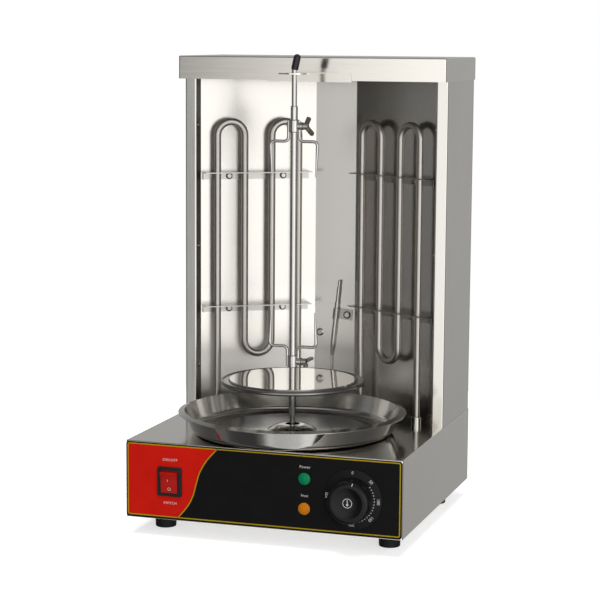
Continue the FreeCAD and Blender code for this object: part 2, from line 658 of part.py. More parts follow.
def legPlaces(side):
    # Both upright legs of an element that reach the base, as distances along the facet.
    outer = f"({side} * ({ELEMENT_CENTRE} + 1.5 * dim.element_pitch))"
    inner = f"({side} * ({ELEMENT_CENTRE} - 1.5 * dim.element_pitch))"
    return [outer, inner]


def facetPoint(side, along, ahead):
    # A point in front of a side facet, from the fold along it and towards the spit.
    x = (f"({side} * dim.reflector_half + ({along}) * cos({FACET_ANGLE})"
         f" - {side} * ({ahead}) * sin({FACET_ANGLE}))")
    y = f"({FACET_Y} - {side} * ({along}) * sin({FACET_ANGLE}) - ({ahead}) * cos({FACET_ANGLE}))"
    return x, y


def facetTurn(side):
    return f"(-({side}) * {FACET_ANGLE})"


# Base housing
def makeBase():
    half = "dim.base_width / 2"
    shell = newBody("base_shell", y=FRONT, z="dim.foot_height")
    sketch = newSketch(shell, "XY")
    rectangle(sketch, f"-{half}", "0", half, "dim.base_depth", "dim.base_corner")
    block = pad(shell, sketch, "dim.base_height")
    level = number("dim.base_height")
    fillet(shell, block, "dim.base_fold", lambda edge: edge.BoundBox.ZMin > level - 0.01)
    inside = newSketch(shell, "XY")
    rectangle(inside, f"-{half} + dim.sheet", "dim.sheet", f"{half} - dim.sheet",
              "dim.base_depth - dim.sheet", "(dim.base_corner - dim.sheet)")
    pocket(shell, inside, "dim.base_height - dim.sheet", reverse=True)
    front = newSketch(shell, "XZ")
    frontOpenings(front)
    pocket(shell, front, "2 * dim.sheet")
    top = newSketch(shell, "XY", "dim.base_height")
    circle(top, "0", SPIT_SETBACK, "dim.bush_radius + dim.running_fit")
    for side in (-1, 1):
        for along in legPlaces(side):
            x, y = facetPoint(side, along, "dim.element_standoff")
            circle(top, x, f"{y} - {FRONT}", LEG_BORE)
    probe = f"{REFLECTOR_SETBACK} - {PROBE_AHEAD}"
    circle(top, "dim.bulb_foot_x", probe, "dim.capillary_radius + dim.seam_gap")
    pocket(shell, top, "2 * dim.sheet")
    back = newSketch(shell, "XZ", "-dim.base_depth")
    circle(back, "dim.gland_x", "dim.gland_height", "dim.gland_neck + dim.running_fit")
    pocket(shell, back, "2 * dim.sheet", reverse=True)

    edge = "(dim.base_width / 2 - dim.sheet - dim.seam_gap)"
    near = "(dim.sheet + dim.seam_gap)"
    far = "(dim.base_depth - dim.sheet - dim.seam_gap)"
    plate = newBody("bottom_plate", y=FRONT, z="dim.foot_height")
    floor = newSketch(plate, "XY")
    rectangle(floor, f"-{edge}", near, edge, far, "(dim.base_corner - dim.sheet - dim.seam_gap)")
    pad(plate, floor, "dim.sheet")
    for low, high in ((near, f"{near} + dim.sheet"), (f"{far} - dim.sheet", far)):
        lip = newSketch(plate, "XY")
        rectangle(lip, f"-{edge} + dim.bottom_lip", low, f"{edge} - dim.bottom_lip", high)
        pad(plate, lip, "dim.bottom_lip")
    holes = newSketch(plate, "XY")
    for x, y in footPlaces():
        circle(holes, x, f"{y} - {FRONT}", "dim.foot_screw_radius + dim.seam_gap")
    pocket(plate, holes, "dim.sheet", reverse=True)
    slot = newSketch(plate, "XY")
    start = "(-(dim.vent_rows - 1) * dim.vent_pitch / 2 - dim.vent_width / 2)"
    middle = "(dim.base_depth - dim.bottom_vent_inset)"
    rectangle(slot, start, f"{middle} - dim.vent_length / 2", f"{start} + dim.vent_width",
              f"{middle} + dim.vent_length / 2", "dim.vent_round")
    slotRow(plate, slot, "dim.vent_rows", "dim.vent_pitch", "dim.sheet", reverse=True)


def footPlaces():
    spots = []
    for y in (f"({FRONT} + dim.foot_inset)", f"({BACK} - dim.foot_inset)"):
        for side in (-1, 1):
            spots.append((f"({side} * (dim.base_width / 2 - dim.foot_side))", y))
    return spots


def makeFeet():
    names = ["foot_front_left", "foot_front_right", "foot_back_left", "foot_back_right"]
    for name, (x, y) in zip(names, footPlaces()):
        foot = newBody(name, x, y)
        inside = "dim.foot_tip_radius - dim.foot_round"
        revolve(foot, [
            ("dim.foot_recess_radius", "0"), (inside, "0"),
            ("dim.foot_tip_radius", "dim.foot_round", inside, "dim.foot_round", 1),
            ("dim.foot_top_radius", "dim.foot_height"),
            ("dim.foot_screw_radius + dim.seam_gap", "dim.foot_height"),
            ("dim.foot_screw_radius + dim.seam_gap", "dim.foot_recess_depth"),
            ("dim.foot_recess_radius", "dim.foot_recess_depth"),
        ])
    grip = "(dim.foot_height - dim.foot_recess_depth + dim.sheet)"
    head = cylinder("dim.foot_screw_head", "dim.foot_screw_height", z="-dim.foot_screw_height")
    stem = cylinder("dim.foot_screw_radius", f"{grip} + dim.foot_nut_height + dim.foot_screw_end")
    nut = cylinder("dim.foot_screw_head", "dim.foot_nut_height", z=grip)
    screw = fuse([head, stem, nut])
    spots = [(x, y, "dim.foot_recess_depth", "0", (0, 0, 1)) for x, y in footPlaces()]
    group("foot_screws", screw, spots)


def makePanelFilm():
    film = newBody("control_panel", y=FRONT, z="dim.foot_height")
    half = "(dim.base_width / 2 - dim.film_margin)"
    face = newSketch(film, "XZ")
    high = "dim.base_height - dim.film_margin - dim.base_fold / 2"
    rectangle(face, f"-{half}", "dim.film_margin", half, high, "dim.film_corner")
    pad(film, face, "dim.film_thick")
    holes = newSketch(film, "XZ")
    frontOpenings(holes)
    pocket(film, holes, "dim.film_thick", reverse=True)


# Cabinet
def makeCabinet():
    for name, side in (("left_side_panel", -1), ("right_side_panel", 1)):
        wall = f"({side} * {CABINET_WIDTH} / 2)"
        lip = f"({side} * {RETURN_X})"
        path = [
            (f"{wall} - {side} * dim.back_flange", CABINET_BACK),
            (wall, CABINET_BACK),
            (wall, CABINET_FRONT),
            (lip, CABINET_FRONT),
            (lip, f"{CABINET_FRONT} + dim.post_return"),
        ]
        subpart(foldedSheet(name, path, f"{side} * dim.sheet", BASE_TOP, CABINET_HEIGHT))

    front = f"({CABINET_FRONT} + dim.post_return + dim.seam_gap)"
    path = [
        (f"-{LIP_X}", f"{front} - dim.reflector_lip"),
        (f"-{LIP_X}", front),
        ("-dim.reflector_half", FACET_Y),
        ("dim.reflector_half", FACET_Y),
        (LIP_X, front),
        (LIP_X, f"{front} - dim.reflector_lip"),
    ]
    subpart(foldedSheet("heat_reflector", path, "-dim.reflector_thick", BASE_TOP, CABINET_HEIGHT))

    plate = newBody("back_panel", y=CABINET_BACK, z=BASE_TOP)
    face = newSketch(plate, "XZ")
    edge = f"({CABINET_WIDTH} / 2)"
    rectangle(face, f"-{edge}", "0", edge, CABINET_HEIGHT)
    pad(plate, face, "dim.sheet", reverse=True)
    slot = newSketch(plate, "XZ")
    start = "(-(dim.vent_rows - 1) * dim.vent_pitch / 2 - dim.vent_width / 2)"
    low = f"({CABINET_HEIGHT} - dim.back_vent_drop)"
    rectangle(slot, start, low, f"{start} + dim.vent_width", f"{low} + dim.vent_length", "dim.vent_round")
    slotRow(plate, slot, "dim.vent_rows", "dim.vent_pitch", "dim.sheet")

    overlap = "(dim.seam_gap + dim.sheet)"
    half = f"({CABINET_WIDTH} / 2 + {overlap})"
    depth = f"(dim.lid_overhang + dim.cabinet_depth + dim.sheet + {overlap})"
    lid = newBody("top_lid", y=LID_FRONT, z=LID_LOW)
    sketch = newSketch(lid, "XY")
    rectangle(sketch, f"-{half}", "0", half, depth, "dim.lid_corner")
    block = pad(lid, sketch, "dim.lid_height")
    level = number("dim.lid_height")
    fillet(lid, block, "dim.lid_fold", lambda edge: edge.BoundBox.ZMin > level - 0.01)
    inside = newSketch(lid, "XY")
    rectangle(inside, f"-{half} + dim.sheet", "dim.sheet", f"{half} - dim.sheet", f"{depth} - dim.sheet",
              "(dim.lid_corner - dim.sheet)")
    pocket(lid, inside, "dim.lid_height - dim.sheet", reverse=True)


def facetAxis(side):
    # Turning a cylinder about the facet's own level direction lays it square to the facet.
    return f"cos({FACET_ANGLE})", f"{-side} * sin({FACET_ANGLE})", "0"


def makeHolder():
    holder = newBody("spit_holder", y=LID_FRONT, z=TONGUE_TOP)
    half = "(dim.tongue_width / 2)"
    reach = "(dim.lid_overhang - dim.spit_ahead)"
    tongue = newSketch(holder, "XY")
    outline(tongue, [
        (f"-{half}", "0"), (f"-{half}", reach), (half, reach, "0", reach, 1), (half, "0"),
    ])
    pad(holder, tongue, "dim.holder_thick", reverse=True)
    flange = newSketch(holder, "XZ")
    wide = "(dim.holder_width / 2)"
    low = "(-dim.holder_rise - dim.holder_drop)"
    outline(flange, [
        (f"-{wide} + dim.holder_chamfer", "0"), (f"-{wide}", low),
        (wide, low), (f"{wide} - dim.holder_chamfer", "0"),
    ])
    pad(holder, flange, "dim.holder_thick")
    hole = newSketch(holder, "XY")
    circle(hole, "0", reach, SHAFT_BORE)
    pocket(holder, hole, "dim.holder_thick")


# Heating elements and their brackets
def bracketScrews(side, ahead):
    spots = []
    for step in (-1, 1):
        along = f"({side} * ({ELEMENT_CENTRE} + {step} * dim.element_pitch))"
        spots.append(facetPoint(side, along, ahead))
    return spots


def makeElements():
    for name, side in (("left", -1), ("right", 1)):
        x, y = facetPoint(side, "0", "0")
        element = newBody(f"{name}_element", x, y, BASE_TOP, facetTurn(side))
        bend = "(dim.element_pitch / 2)"
        crown = f"({ELEMENT_TOP} - dim.element_radius - {bend})"
        trough = f"(dim.element_low + dim.element_radius + {bend})"
        spots = [f"({side} * ({ELEMENT_CENTRE} + {step} * dim.element_pitch / 2))" for step in range(-3, 4)]
        legs, mids = spots[::2], spots[1::2]
        path = [
            (legs[0], "-dim.element_tail"), (legs[0], crown), (legs[1], crown, mids[0], crown, -side),
            (legs[1], trough), (legs[2], trough, mids[1], trough, side),
            (legs[2], crown), (legs[3], crown, mids[2], crown, -side), (legs[3], "-dim.element_tail"),
        ]
        pipe(element, "XZ", path, "dim.element_radius", "dim.element_standoff")
        pins = newSketch(element, "XY", "-dim.element_tail - dim.terminal_length")
        for leg in (legs[0], legs[3]):
            circle(pins, leg, "-dim.element_standoff", "dim.terminal_radius")
        pad(element, pins, "dim.terminal_length")

    ring = newBody("ferrule_pattern")
    subparts.pop()
    inner = "(dim.element_radius + dim.running_fit)"
    narrow = "dim.ferrule_radius - dim.ferrule_round"
    shoulder = "dim.ferrule_height - dim.ferrule_round"
    revolve(ring, [
        (inner, "0"), ("dim.ferrule_radius", "0"), ("dim.ferrule_radius", shoulder),
        (narrow, "dim.ferrule_height", narrow, shoulder, 1),
        (inner, "dim.ferrule_height"),
    ])
    for name, side in (("left", -1), ("right", 1)):
        spots = []
        for along in legPlaces(side):
            x, y = facetPoint(side, along, "dim.element_standoff")
            spots.append((x, y, BASE_TOP, "0", (0, 0, 1)))
        group(f"{name}_element_ferrules", ring, spots)


def makeBrackets():
    for side, sideName in ((-1, "left"), (1, "right")):
        for level, levelName in ((UPPER_BRACKET, "upper"), (LOWER_BRACKET, "lower")):
            x, y = facetPoint(side, "0", "0")
            top = f"({BASE_TOP} + {level})"
            bracket = newBody(f"{levelName}_{sideName}_bracket", x, y, top, facetTurn(side))
            section = newSketch(bracket, "YZ", f"{side} * {ELEMENT_CENTRE}")
            thick = "dim.bracket_thick"
            outline(section, [
                ("0", "0"), ("-dim.bracket_reach", "0"), ("-dim.bracket_reach", f"-{thick}"),
                (f"-{thick}", f"-{thick}"), (f"-{thick}", "-dim.bracket_height"),
                ("0", "-dim.bracket_height"),
            ])
            pad(bracket, section, f"2 * {BRACKET_HALF}", both=True)
            far = f"({side} * ({ELEMENT_CENTRE} + {BRACKET_HALF}))"
            tab = newSketch(bracket, "XY")
            low, high = (far, f"{far} + {thick}") if side < 0 else (f"{far} - {thick}", far)
            rectangle(tab, low, "-dim.bracket_tab", high, "0")
            pad(bracket, tab, "dim.bracket_height", reverse=True)
            tubes = newSketch(bracket, "XY")
            for step in (-1.5, -0.5, 0.5, 1.5):
                along = f"{side} * ({ELEMENT_CENTRE} + {step} * dim.element_pitch)"
                circle(tubes, along, "-dim.element_standoff", LEG_BORE)
            pocket(bracket, tubes, thick)
            screws = newSketch(bracket, "XZ")
            for step in (-1, 1):
                along = f"{side} * ({ELEMENT_CENTRE} + {step} * dim.element_pitch)"
                circle(screws, along, f"-{SCREW_DROP}", "dim.screw_radius + dim.running_fit")
            pocket(bracket, screws, thick, reverse=True)

    screw = panScrew("dim.screw_head_radius", "dim.screw_head_height", "dim.screw_radius",
                     "dim.bracket_thick + dim.reflector_thick + dim.screw_reach")
    spots = []
    for side in (-1, 1):
        for level in (UPPER_BRACKET, LOWER_BRACKET):
            for x, y in bracketScrews(side, "dim.bracket_thick"):
                spots.append((x, y, f"{BASE_TOP} + {level} - {SCREW_DROP}", "90", facetAxis(side)))
    group("bracket_screws", screw, spots)
    drill(["heat_reflector"], spots, "dim.screw_radius + dim.running_fit")


def makePostScrews():
    screw = panScrew("dim.small_head_radius", "dim.small_head_height", "dim.small_screw_radius",
                     "dim.sheet + dim.reflector_thick + dim.screw_reach")
    spots = []
    for side in (-1, 1):
        for step in range(3):
            spots.append((f"{side} * {RETURN_X}", f"{CABINET_FRONT} + dim.post_screw_inset",
                          f"{BASE_TOP} + dim.post_screw_first + {step} * dim.post_screw_pitch",
                          str(-90 * side), (0, 1, 0)))
    group("post_screws", screw, spots)
    sheets = ["left_side_panel", "right_side_panel", "heat_reflector"]
    drill(sheets, spots, "dim.small_screw_radius + dim.running_fit")


# Thermostat probe
def makeProbe():
    y = f"({FACET_Y} - {PROBE_AHEAD})"
    foot = f"({BASE_TOP} + dim.bulb_foot)"
    bulb = newBody("thermostat_bulb", "dim.bulb_foot_x", y, foot, "dim.bulb_lean", (0, 1, 0))
    neck = "(dim.clip_height_on_bulb + dim.clip_height)"
    cap = "(dim.bulb_length - dim.bulb_cap)"
    revolve(bulb, [
        ("0", "0"), ("dim.capillary_radius + dim.seam_gap", "0"),
        ("dim.bulb_radius", "dim.bulb_taper"), ("dim.bulb_radius", neck),
        ("dim.bulb_neck_radius", f"{neck} + dim.bulb_radius"), ("dim.bulb_neck_radius", cap),
        ("dim.bulb_cap_radius", f"{cap} + dim.bulb_cap_radius"),
        ("dim.bulb_cap_radius", "dim.bulb_length - dim.edge_break"),
        ("dim.bulb_cap_radius - dim.edge_break", "dim.bulb_length"), ("0", "dim.bulb_length"),
    ])

    tube = newBody("capillary_tube", "dim.bulb_foot_x", y, BASE_TOP)
    run = [("0", "-dim.capillary_tail"), ("0", "dim.bulb_foot - dim.seam_gap")]
    pipe(tube, "XZ", run, "dim.capillary_radius")

    clip = newBody("bulb_clip", "dim.bulb_foot_x", y, foot, "dim.bulb_lean", (0, 1, 0))
    ring = newSketch(clip, "XY", "dim.clip_height_on_bulb - dim.clip_height / 2")
    outer = "(dim.bulb_radius + dim.clip_thick)"
    inner = "(dim.bulb_radius + dim.running_fit)"
    circle(ring, "0", "0", outer)
    circle(ring, "0", "0", inner)
    pad(clip, ring, "dim.clip_height")
    tab = newSketch(clip, "XY", "dim.clip_height_on_bulb - dim.clip_height / 2")
    rectangle(tab, "0", f"{outer} - dim.clip_thick", "dim.clip_reach", outer)
    pad(clip, tab, "dim.clip_height")


def makeProbeScrews():
    lean = "dim.bulb_lean * 1 deg"
    along = "dim.clip_height_on_bulb"
    reach = "(dim.clip_reach - dim.clip_screw_inset)"
    x = f"(dim.bulb_foot_x + {along} * sin({lean}) + {reach} * cos({lean}))"
    z = f"({BASE_TOP} + dim.bulb_foot + {along} * cos({lean}) - {reach} * sin({lean}))"
    screw = panScrew("dim.probe_head_radius", "dim.screw_head_height", "dim.screw_radius",
                     "dim.clip_thick + dim.reflector_thick + dim.screw_reach")
    spots = [(x, f"{FACET_Y} - dim.clip_thick - dim.seam_gap", z, "90", (1, 0, 0)),
             ("dim.spare_screw_x", FACET_Y, f"{BASE_TOP} + dim.spare_screw", "90", (1, 0, 0))]
    group("probe_screws", screw, spots)
    drill(["heat_reflector", "bulb_clip"], spots, "dim.screw_radius + dim.running_fit")


# Drip pan
def makePan():
    pan = newBody("drip_pan", "0", SPIT_Y, BASE_TOP)
    t = "dim.pan_thick"
    slope = "(dim.pan_wall_angle * 1 deg)"
    wall = "(dim.pan_radius - dim.pan_rim)"
    knee = "dim.pan_knee_round"
    kneeTop = f"({knee} * (1 - cos({slope})))"
    kneeOut = f"({wall} - (dim.pan_height - {t} - {kneeTop}) / tan({slope}))"
    foot = f"({kneeOut} - {knee} * sin({slope}))"
    inner = f"({knee} - {t})"
    ring = f"({foot} - dim.pan_foot_width)"
    step = f"({ring} - dim.pan_step_width)"
    edge = f"(dim.pan_radius - {t} / 2)"
    edgeTop = "(dim.pan_height - dim.pan_rim_drop)"
    flat = "dim.pan_dome_flat"
    dome = "dim.pan_dome_round"
    centre = f"(dim.pan_dome_height - {dome})"
    low = f"({dome} - dim.pan_dome_height + dim.pan_step)"
    run = f"sqrt({dome} ^ 2 - {low} ^ 2)"
    underRun = f"sqrt(({dome} - {t}) ^ 2 - ({low} - {t}) ^ 2)"
    revolve(pan, [
        ("dim.pan_hole_radius", f"dim.pan_dome_height - {t}"),
        (flat, f"dim.pan_dome_height - {t}"),
        (f"{flat} + {underRun}", f"dim.pan_step - {t}", flat, centre, -1),
        (step, f"dim.pan_step - {t}"),
        (ring, "0"),
        (foot, "0"),
        (kneeOut, kneeTop, foot, knee, 1),
        (wall, f"dim.pan_height - {t}"),
        (edge, f"{edgeTop} - {t}"),
        (edge, edgeTop, edge, f"{edgeTop} - {t} / 2", 1),
        (f"{wall} - {t} / 2", "dim.pan_height"),
        (f"{foot} + {inner} * sin({slope})", f"{knee} - {inner} * cos({slope})"),
        (foot, t, foot, knee, -1),
        (ring, t),
        (step, "dim.pan_step"),
        (f"{flat} + {run}", "dim.pan_step"),
        (flat, "dim.pan_dome_height", flat, centre, 1),
        ("dim.pan_hole_radius", "dim.pan_dome_height"),
    ])


# Spit, forks and meat plate
def makeSpit():
    tube = newBody("spit_tube", "0", SPIT_Y, f"{BASE_TOP} + dim.spit_lift")
    r = "dim.tube_radius"
    revolve(tube, [
        (SHAFT_BORE, "0"), (r, "0"), (r, "dim.spit_length - dim.edge_break"),
        (f"{r} - dim.edge_break", "dim.spit_length"), (SHAFT_BORE, "dim.spit_length"),
    ])
    notch = newSketch(tube, "YZ")
    wide = "(dim.cross_pin_radius + dim.running_fit)"
    rectangle(notch, f"-{wide}", "-1", wide, "dim.cross_pin_height + dim.cross_pin_radius + dim.press_fit")
    pocket(tube, notch, "4 * dim.tube_radius", both=True)

    top = f"({BASE_TOP} + dim.plate_height)"
    plate = newBody("meat_plate", "0", SPIT_Y, top)
    bore = "(dim.tube_radius + dim.press_fit)"
    t = "dim.plate_thick"
    under = f"(dim.plate_groove + {t})"
    shift = f"({t} * tan(atan(dim.plate_groove / dim.plate_step) / 2))"
    bead = ("(dim.plate_radius - dim.plate_bead)", "-dim.plate_bead_drop")
    meets = [f"({bead[0]} - sqrt(dim.plate_bead ^ 2 - (dim.plate_bead_drop - {depth}) ^ 2))"
             for depth in ("dim.plate_groove", under)]
    revolve(plate, [
        (bore, f"-{t}"), (f"dim.plate_flat_radius - {shift}", f"-{t}"),
        (f"dim.plate_flat_radius + dim.plate_step - {shift}", f"-{under}"), (meets[1], f"-{under}"),
        ("dim.plate_radius", "-dim.plate_bead_drop", *bead, 1), (meets[0], "-dim.plate_groove", *bead, 1),
        ("dim.plate_flat_radius + dim.plate_step", "-dim.plate_groove"),
        ("dim.plate_flat_radius", "0"), (bore, "0"),
    ])
    collar = newBody("plate_collar", "0", SPIT_Y, f"{top} - {t} - dim.collar_height")
    revolve(collar, [
        (bore, "0"), ("dim.collar_radius - dim.collar_break", "0"),
        ("dim.collar_radius", "dim.collar_break"), ("dim.collar_radius", "dim.collar_height"),
        (bore, "dim.collar_height"),
    ])

    start = f"({BASE_TOP} + dim.spit_lift + dim.spit_length - dim.pin_entry)"
    bendAt = f"({TONGUE_TOP} + dim.grip_gap - {start})"
    grip = newBody("pin_grip", "0", SPIT_Y, f"{start} + {bendAt}", "dim.grip_lean", (0, 1, 0))
    r = "dim.grip_radius"
    hole = "(dim.shaft_radius + dim.press_fit)"
    inside = "dim.grip_length - dim.grip_end"
    revolve(grip, [
        (hole, "dim.grip_clear"), (f"{r} - dim.edge_break", "dim.grip_clear"),
        (r, "dim.grip_clear + dim.edge_break"), (r, f"dim.grip_length - {r}"),
        ("0", "dim.grip_length", "0", f"dim.grip_length - {r}", 1),
        ("0", inside), (hole, inside),
    ])
    straight = cylinder("dim.shaft_radius", bendAt)
    ball = doc.addObject("Part::Sphere", "Knuckle")
    ball.setExpression("Radius", "dim.shaft_radius")
    place(ball, z=bendAt)
    end = f"{inside} - dim.edge_break"
    leaning = cylinder("dim.shaft_radius", end, z=bendAt, turn="dim.grip_lean", axis=(0, 1, 0))
    pin = fuse([straight, ball, leaning])
    place(pin, "0", SPIT_Y, start)
    subpart(pin, "top_pin")


def makeFork(label, level, flip):
    # Arms hang below the clamp where flip is 1 and stand above it where flip is -1.
    centre = f"({BASE_TOP} + {level})"
    fork = newBody(label, "0", SPIT_Y, centre, "0" if flip > 0 else "180", (1, 0, 0))
    half = "(dim.fork_clamp_height / 2)"
    inner = "(dim.tube_radius + dim.running_fit)"
    outer = "dim.fork_clamp_radius"
    waist = f"({outer} - dim.fork_clamp_round)"
    edge = f"({half} - dim.fork_clamp_round)"
    revolve(fork, [
        (inner, f"-{half}"), (waist, f"-{half}"), (outer, f"-{edge}", waist, f"-{edge}", 1),
        (outer, edge), (waist, half, waist, edge, 1), (inner, half),
    ])
    boss = newSketch(fork, "YZ", f"{inner} + dim.fork_boss_start")
    circle(boss, "0", "0", "dim.wing_boss_radius")
    pad(fork, boss, f"dim.wing_boss_reach - {inner} - dim.fork_boss_start")
    b = "dim.fork_bend"
    base = f"(-dim.fork_arm - {b})"
    end = "(-dim.fork_arm - dim.fork_prong)"
    for side in (-1, 1):
        neck = f"({side} * (dim.fork_clamp_radius + dim.fork_neck))"
        tip = f"({side} * dim.fork_span / 2)"
        far = f"({tip} - {side} * dim.fork_lean)"
        near, away = f"({neck} + {side} * {b})", f"({tip} - {side} * {b})"
        path = [
            (neck, "dim.fork_neck_top"), (neck, f"-dim.fork_arm + {b}"),
            (near, "-dim.fork_arm", near, f"-dim.fork_arm + {b}", side),
            (away, "-dim.fork_arm"), (tip, base, away, base, -side),
            (tip, f"{base} - dim.fork_joint"),
        ]
        pipe(fork, "XZ", path, "dim.fork_wire")
        prong = newSketch(fork, "XZ")
        outline(prong, [
            (tip, base), (far, end), (f"{far} + dim.fork_point", end), (f"{tip} + dim.fork_root", base),
        ])
        turned = fork.newObject("PartDesign::Revolution", "Prong")
        turned.Profile = prong
        turned.ReferenceAxis = (prong, [axisLine(prong, (far, end), (tip, base))])
        turned.Angle = 360
    thread = newSketch(fork, "YZ")
    circle(thread, "0", "0", "dim.wing_screw_radius + dim.thread_fit")
    pocket(fork, thread, "dim.wing_boss_reach + dim.sheet", reverse=True)


def makeWingScrew(label, level, turn):
    seat = "dim.wing_boss_reach + dim.wing_gap"
    screw = newBody(label, seat, SPIT_Y, f"({BASE_TOP} + {level})", turn, (1, 0, 0))
    hub = newSketch(screw, "YZ")
    circle(hub, "0", "0", "dim.wing_hub_radius")
    pad(screw, hub, "dim.wing_hub_length")
    stem = newSketch(screw, "YZ")
    circle(stem, "0", "0", "dim.wing_screw_radius")
    pad(screw, stem, f"{seat} - dim.tube_radius - 2 * dim.running_fit", reverse=True)
    half = "(dim.wing_width / 2)"
    lean = "dim.wing_lean * 1 deg"
    rise = f"(dim.wing_span / 2 - {half})"
    ahead = f"(dim.wing_root + {rise} * tan({lean}))"
    across = [f"{half} * cos({lean})", f"{half} * sin({lean})"]
    for side in (-1, 1):
        wing = newSketch(screw, "XZ")
        outline(wing, [
            (f"dim.wing_root - {across[0]}", f"{side} * {across[1]}"),
            (f"{ahead} - {across[0]}", f"{side} * ({rise} + {across[1]})"),
            (f"{ahead} + {across[0]}", f"{side} * ({rise} - {across[1]})",
             ahead, f"{side} * {rise}", -side),
            (f"dim.wing_root + {across[0]}", f"{side} * -{across[1]}"),
        ])
        pad(screw, wing, "dim.wing_thick", both=True)


# Drive under the pan
def makeDrive():
    y = SPIT_Y
    bush = newBody("shaft_bush", "0", y, BASE_TOP)
    bore = "(dim.shaft_shoulder + dim.running_fit)"
    revolve(bush, [
        (bore, "-dim.sheet - dim.bush_tail"), ("dim.bush_radius", "-dim.sheet - dim.bush_tail"),
        ("dim.bush_radius", "0"), ("dim.bush_flange", "0"), ("dim.bush_flange", "dim.bush_rim"),
        ("dim.bush_radius", "dim.bush_height"), (bore, "dim.bush_height"),
    ])
    drop = "(dim.sheet + dim.motor_plate_drop)"
    plate = newBody("motor_plate", "0", y, f"{BASE_TOP} - {drop}")
    sketch = newSketch(plate, "XY")
    half = "(dim.motor_plate_width / 2)"
    deep = "(dim.motor_plate_depth / 2)"
    rectangle(sketch, f"-{half}", f"-{deep}", half, deep, "dim.motor_plate_corner")
    circle(sketch, "0", "0", "dim.motor_plate_hole")
    pad(plate, sketch, "dim.motor_plate_thick", reverse=True)
    post = cylinder("dim.standoff_radius", "dim.motor_plate_drop")
    spots = []
    for sx in (-1, 1):
        for sy in (-1, 1):
            across = f"{sx} * ({half} - dim.standoff_inset)"
            ahead = f"{y} + {sy} * ({deep} - dim.standoff_inset)"
            spots.append((across, ahead, f"{BASE_TOP} - {drop}", "0", (0, 0, 1)))
    group("motor_standoffs", post, spots)
    seat = f"({drop} + dim.motor_plate_thick)"
    motor = newBody("gear_motor", "0", y, f"{BASE_TOP} - {seat}")
    r = "dim.motor_radius"
    gearbox = f"({r} - dim.motor_step)"
    revolve(motor, [
        ("0", "-dim.motor_height"), (f"{r} - dim.motor_break", "-dim.motor_height"),
        (r, "-dim.motor_height + dim.motor_break"), (r, "-dim.motor_gearbox"),
        (gearbox, "-dim.motor_gearbox"), (gearbox, "0"), (bore, "0"),
        (bore, "-dim.motor_socket"), ("0", "-dim.motor_socket"),
    ])
    shaft = newBody("drive_shaft", "0", y, BASE_TOP)
    low = f"(dim.socket_gap - {seat} - dim.motor_socket)"
    step = "(dim.bush_height + dim.shaft_step)"
    slim = "(dim.shaft_shoulder - dim.shaft_radius)"
    top = "(dim.spit_lift + dim.shaft_entry)"
    revolve(shaft, [
        ("0", low), ("dim.shaft_shoulder", low), ("dim.shaft_shoulder", step),
        ("dim.shaft_radius", f"{step} + {slim}"), ("dim.shaft_radius", f"{top} - dim.edge_break"),
        ("dim.shaft_radius - dim.edge_break", top), ("0", top),
    ])
    pin = newSketch(shaft, "YZ")
    circle(pin, "0", "dim.spit_lift + dim.cross_pin_height", "dim.cross_pin_radius")
    pad(shaft, pin, "2 * dim.tube_radius", both=True)


# Controls on the front
def makeSwitch():
    spot = ("dim.switch_x", f"{FRONT} - dim.film_thick", "dim.foot_height + dim.switch_height")
    body = newBody("switch_body", *spot)
    face = newSketch(body, "XZ")
    half = "(dim.switch_width / 2)"
    tall = "(dim.switch_tall / 2)"
    rectangle(face, f"-{half}", f"-{tall}", half, tall, "dim.switch_corner")
    flange = pad(body, face, "dim.switch_bezel")
    front = -number("dim.switch_bezel")
    fillet(body, flange, "dim.switch_round", lambda edge: edge.BoundBox.YMax < front + 0.01)
    back = newSketch(body, "XZ")
    gap = "(dim.switch_rim + dim.seam_gap)"
    rectangle(back, f"-{half} + {gap}", f"-{tall} + {gap}", f"{half} - {gap}", f"{tall} - {gap}")
    pad(body, back, "dim.film_thick + dim.sheet + dim.switch_body_depth", reverse=True)
    window = newSketch(body, "XZ", "dim.switch_bezel")
    wide = "(dim.rocker_width / 2 + dim.rocker_play)"
    high = "(dim.rocker_half + dim.rocker_play)"
    rectangle(window, f"-{wide}", f"-{high}", wide, high)
    pocket(body, window, "dim.switch_bezel + dim.switch_well")

    rocker = newBody("rocker_button", *spot, "dim.rocker_tilt", (1, 0, 0))
    section = newSketch(rocker, "YZ", "-dim.rocker_width / 2")
    face = "(-dim.switch_bezel - dim.rocker_rise)"
    end = "dim.rocker_half"
    soft = "dim.edge_break"
    heel = "(dim.rocker_half - dim.rocker_play)"
    outline(section, [
        (face, f"-{end} + {soft}"), (f"{face} + {soft}", f"-{end}"), ("0", f"-{heel}"),
        ("dim.rocker_back", "-dim.rocker_back_half"), ("dim.rocker_back", "dim.rocker_back_half"),
        ("0", heel), (f"{face} + {soft}", end), (face, f"{end} - {soft}"),
        (f"{face} + dim.rocker_hollow", "dim.rocker_crease"),
    ])
    pad(rocker, section, "dim.rocker_width")


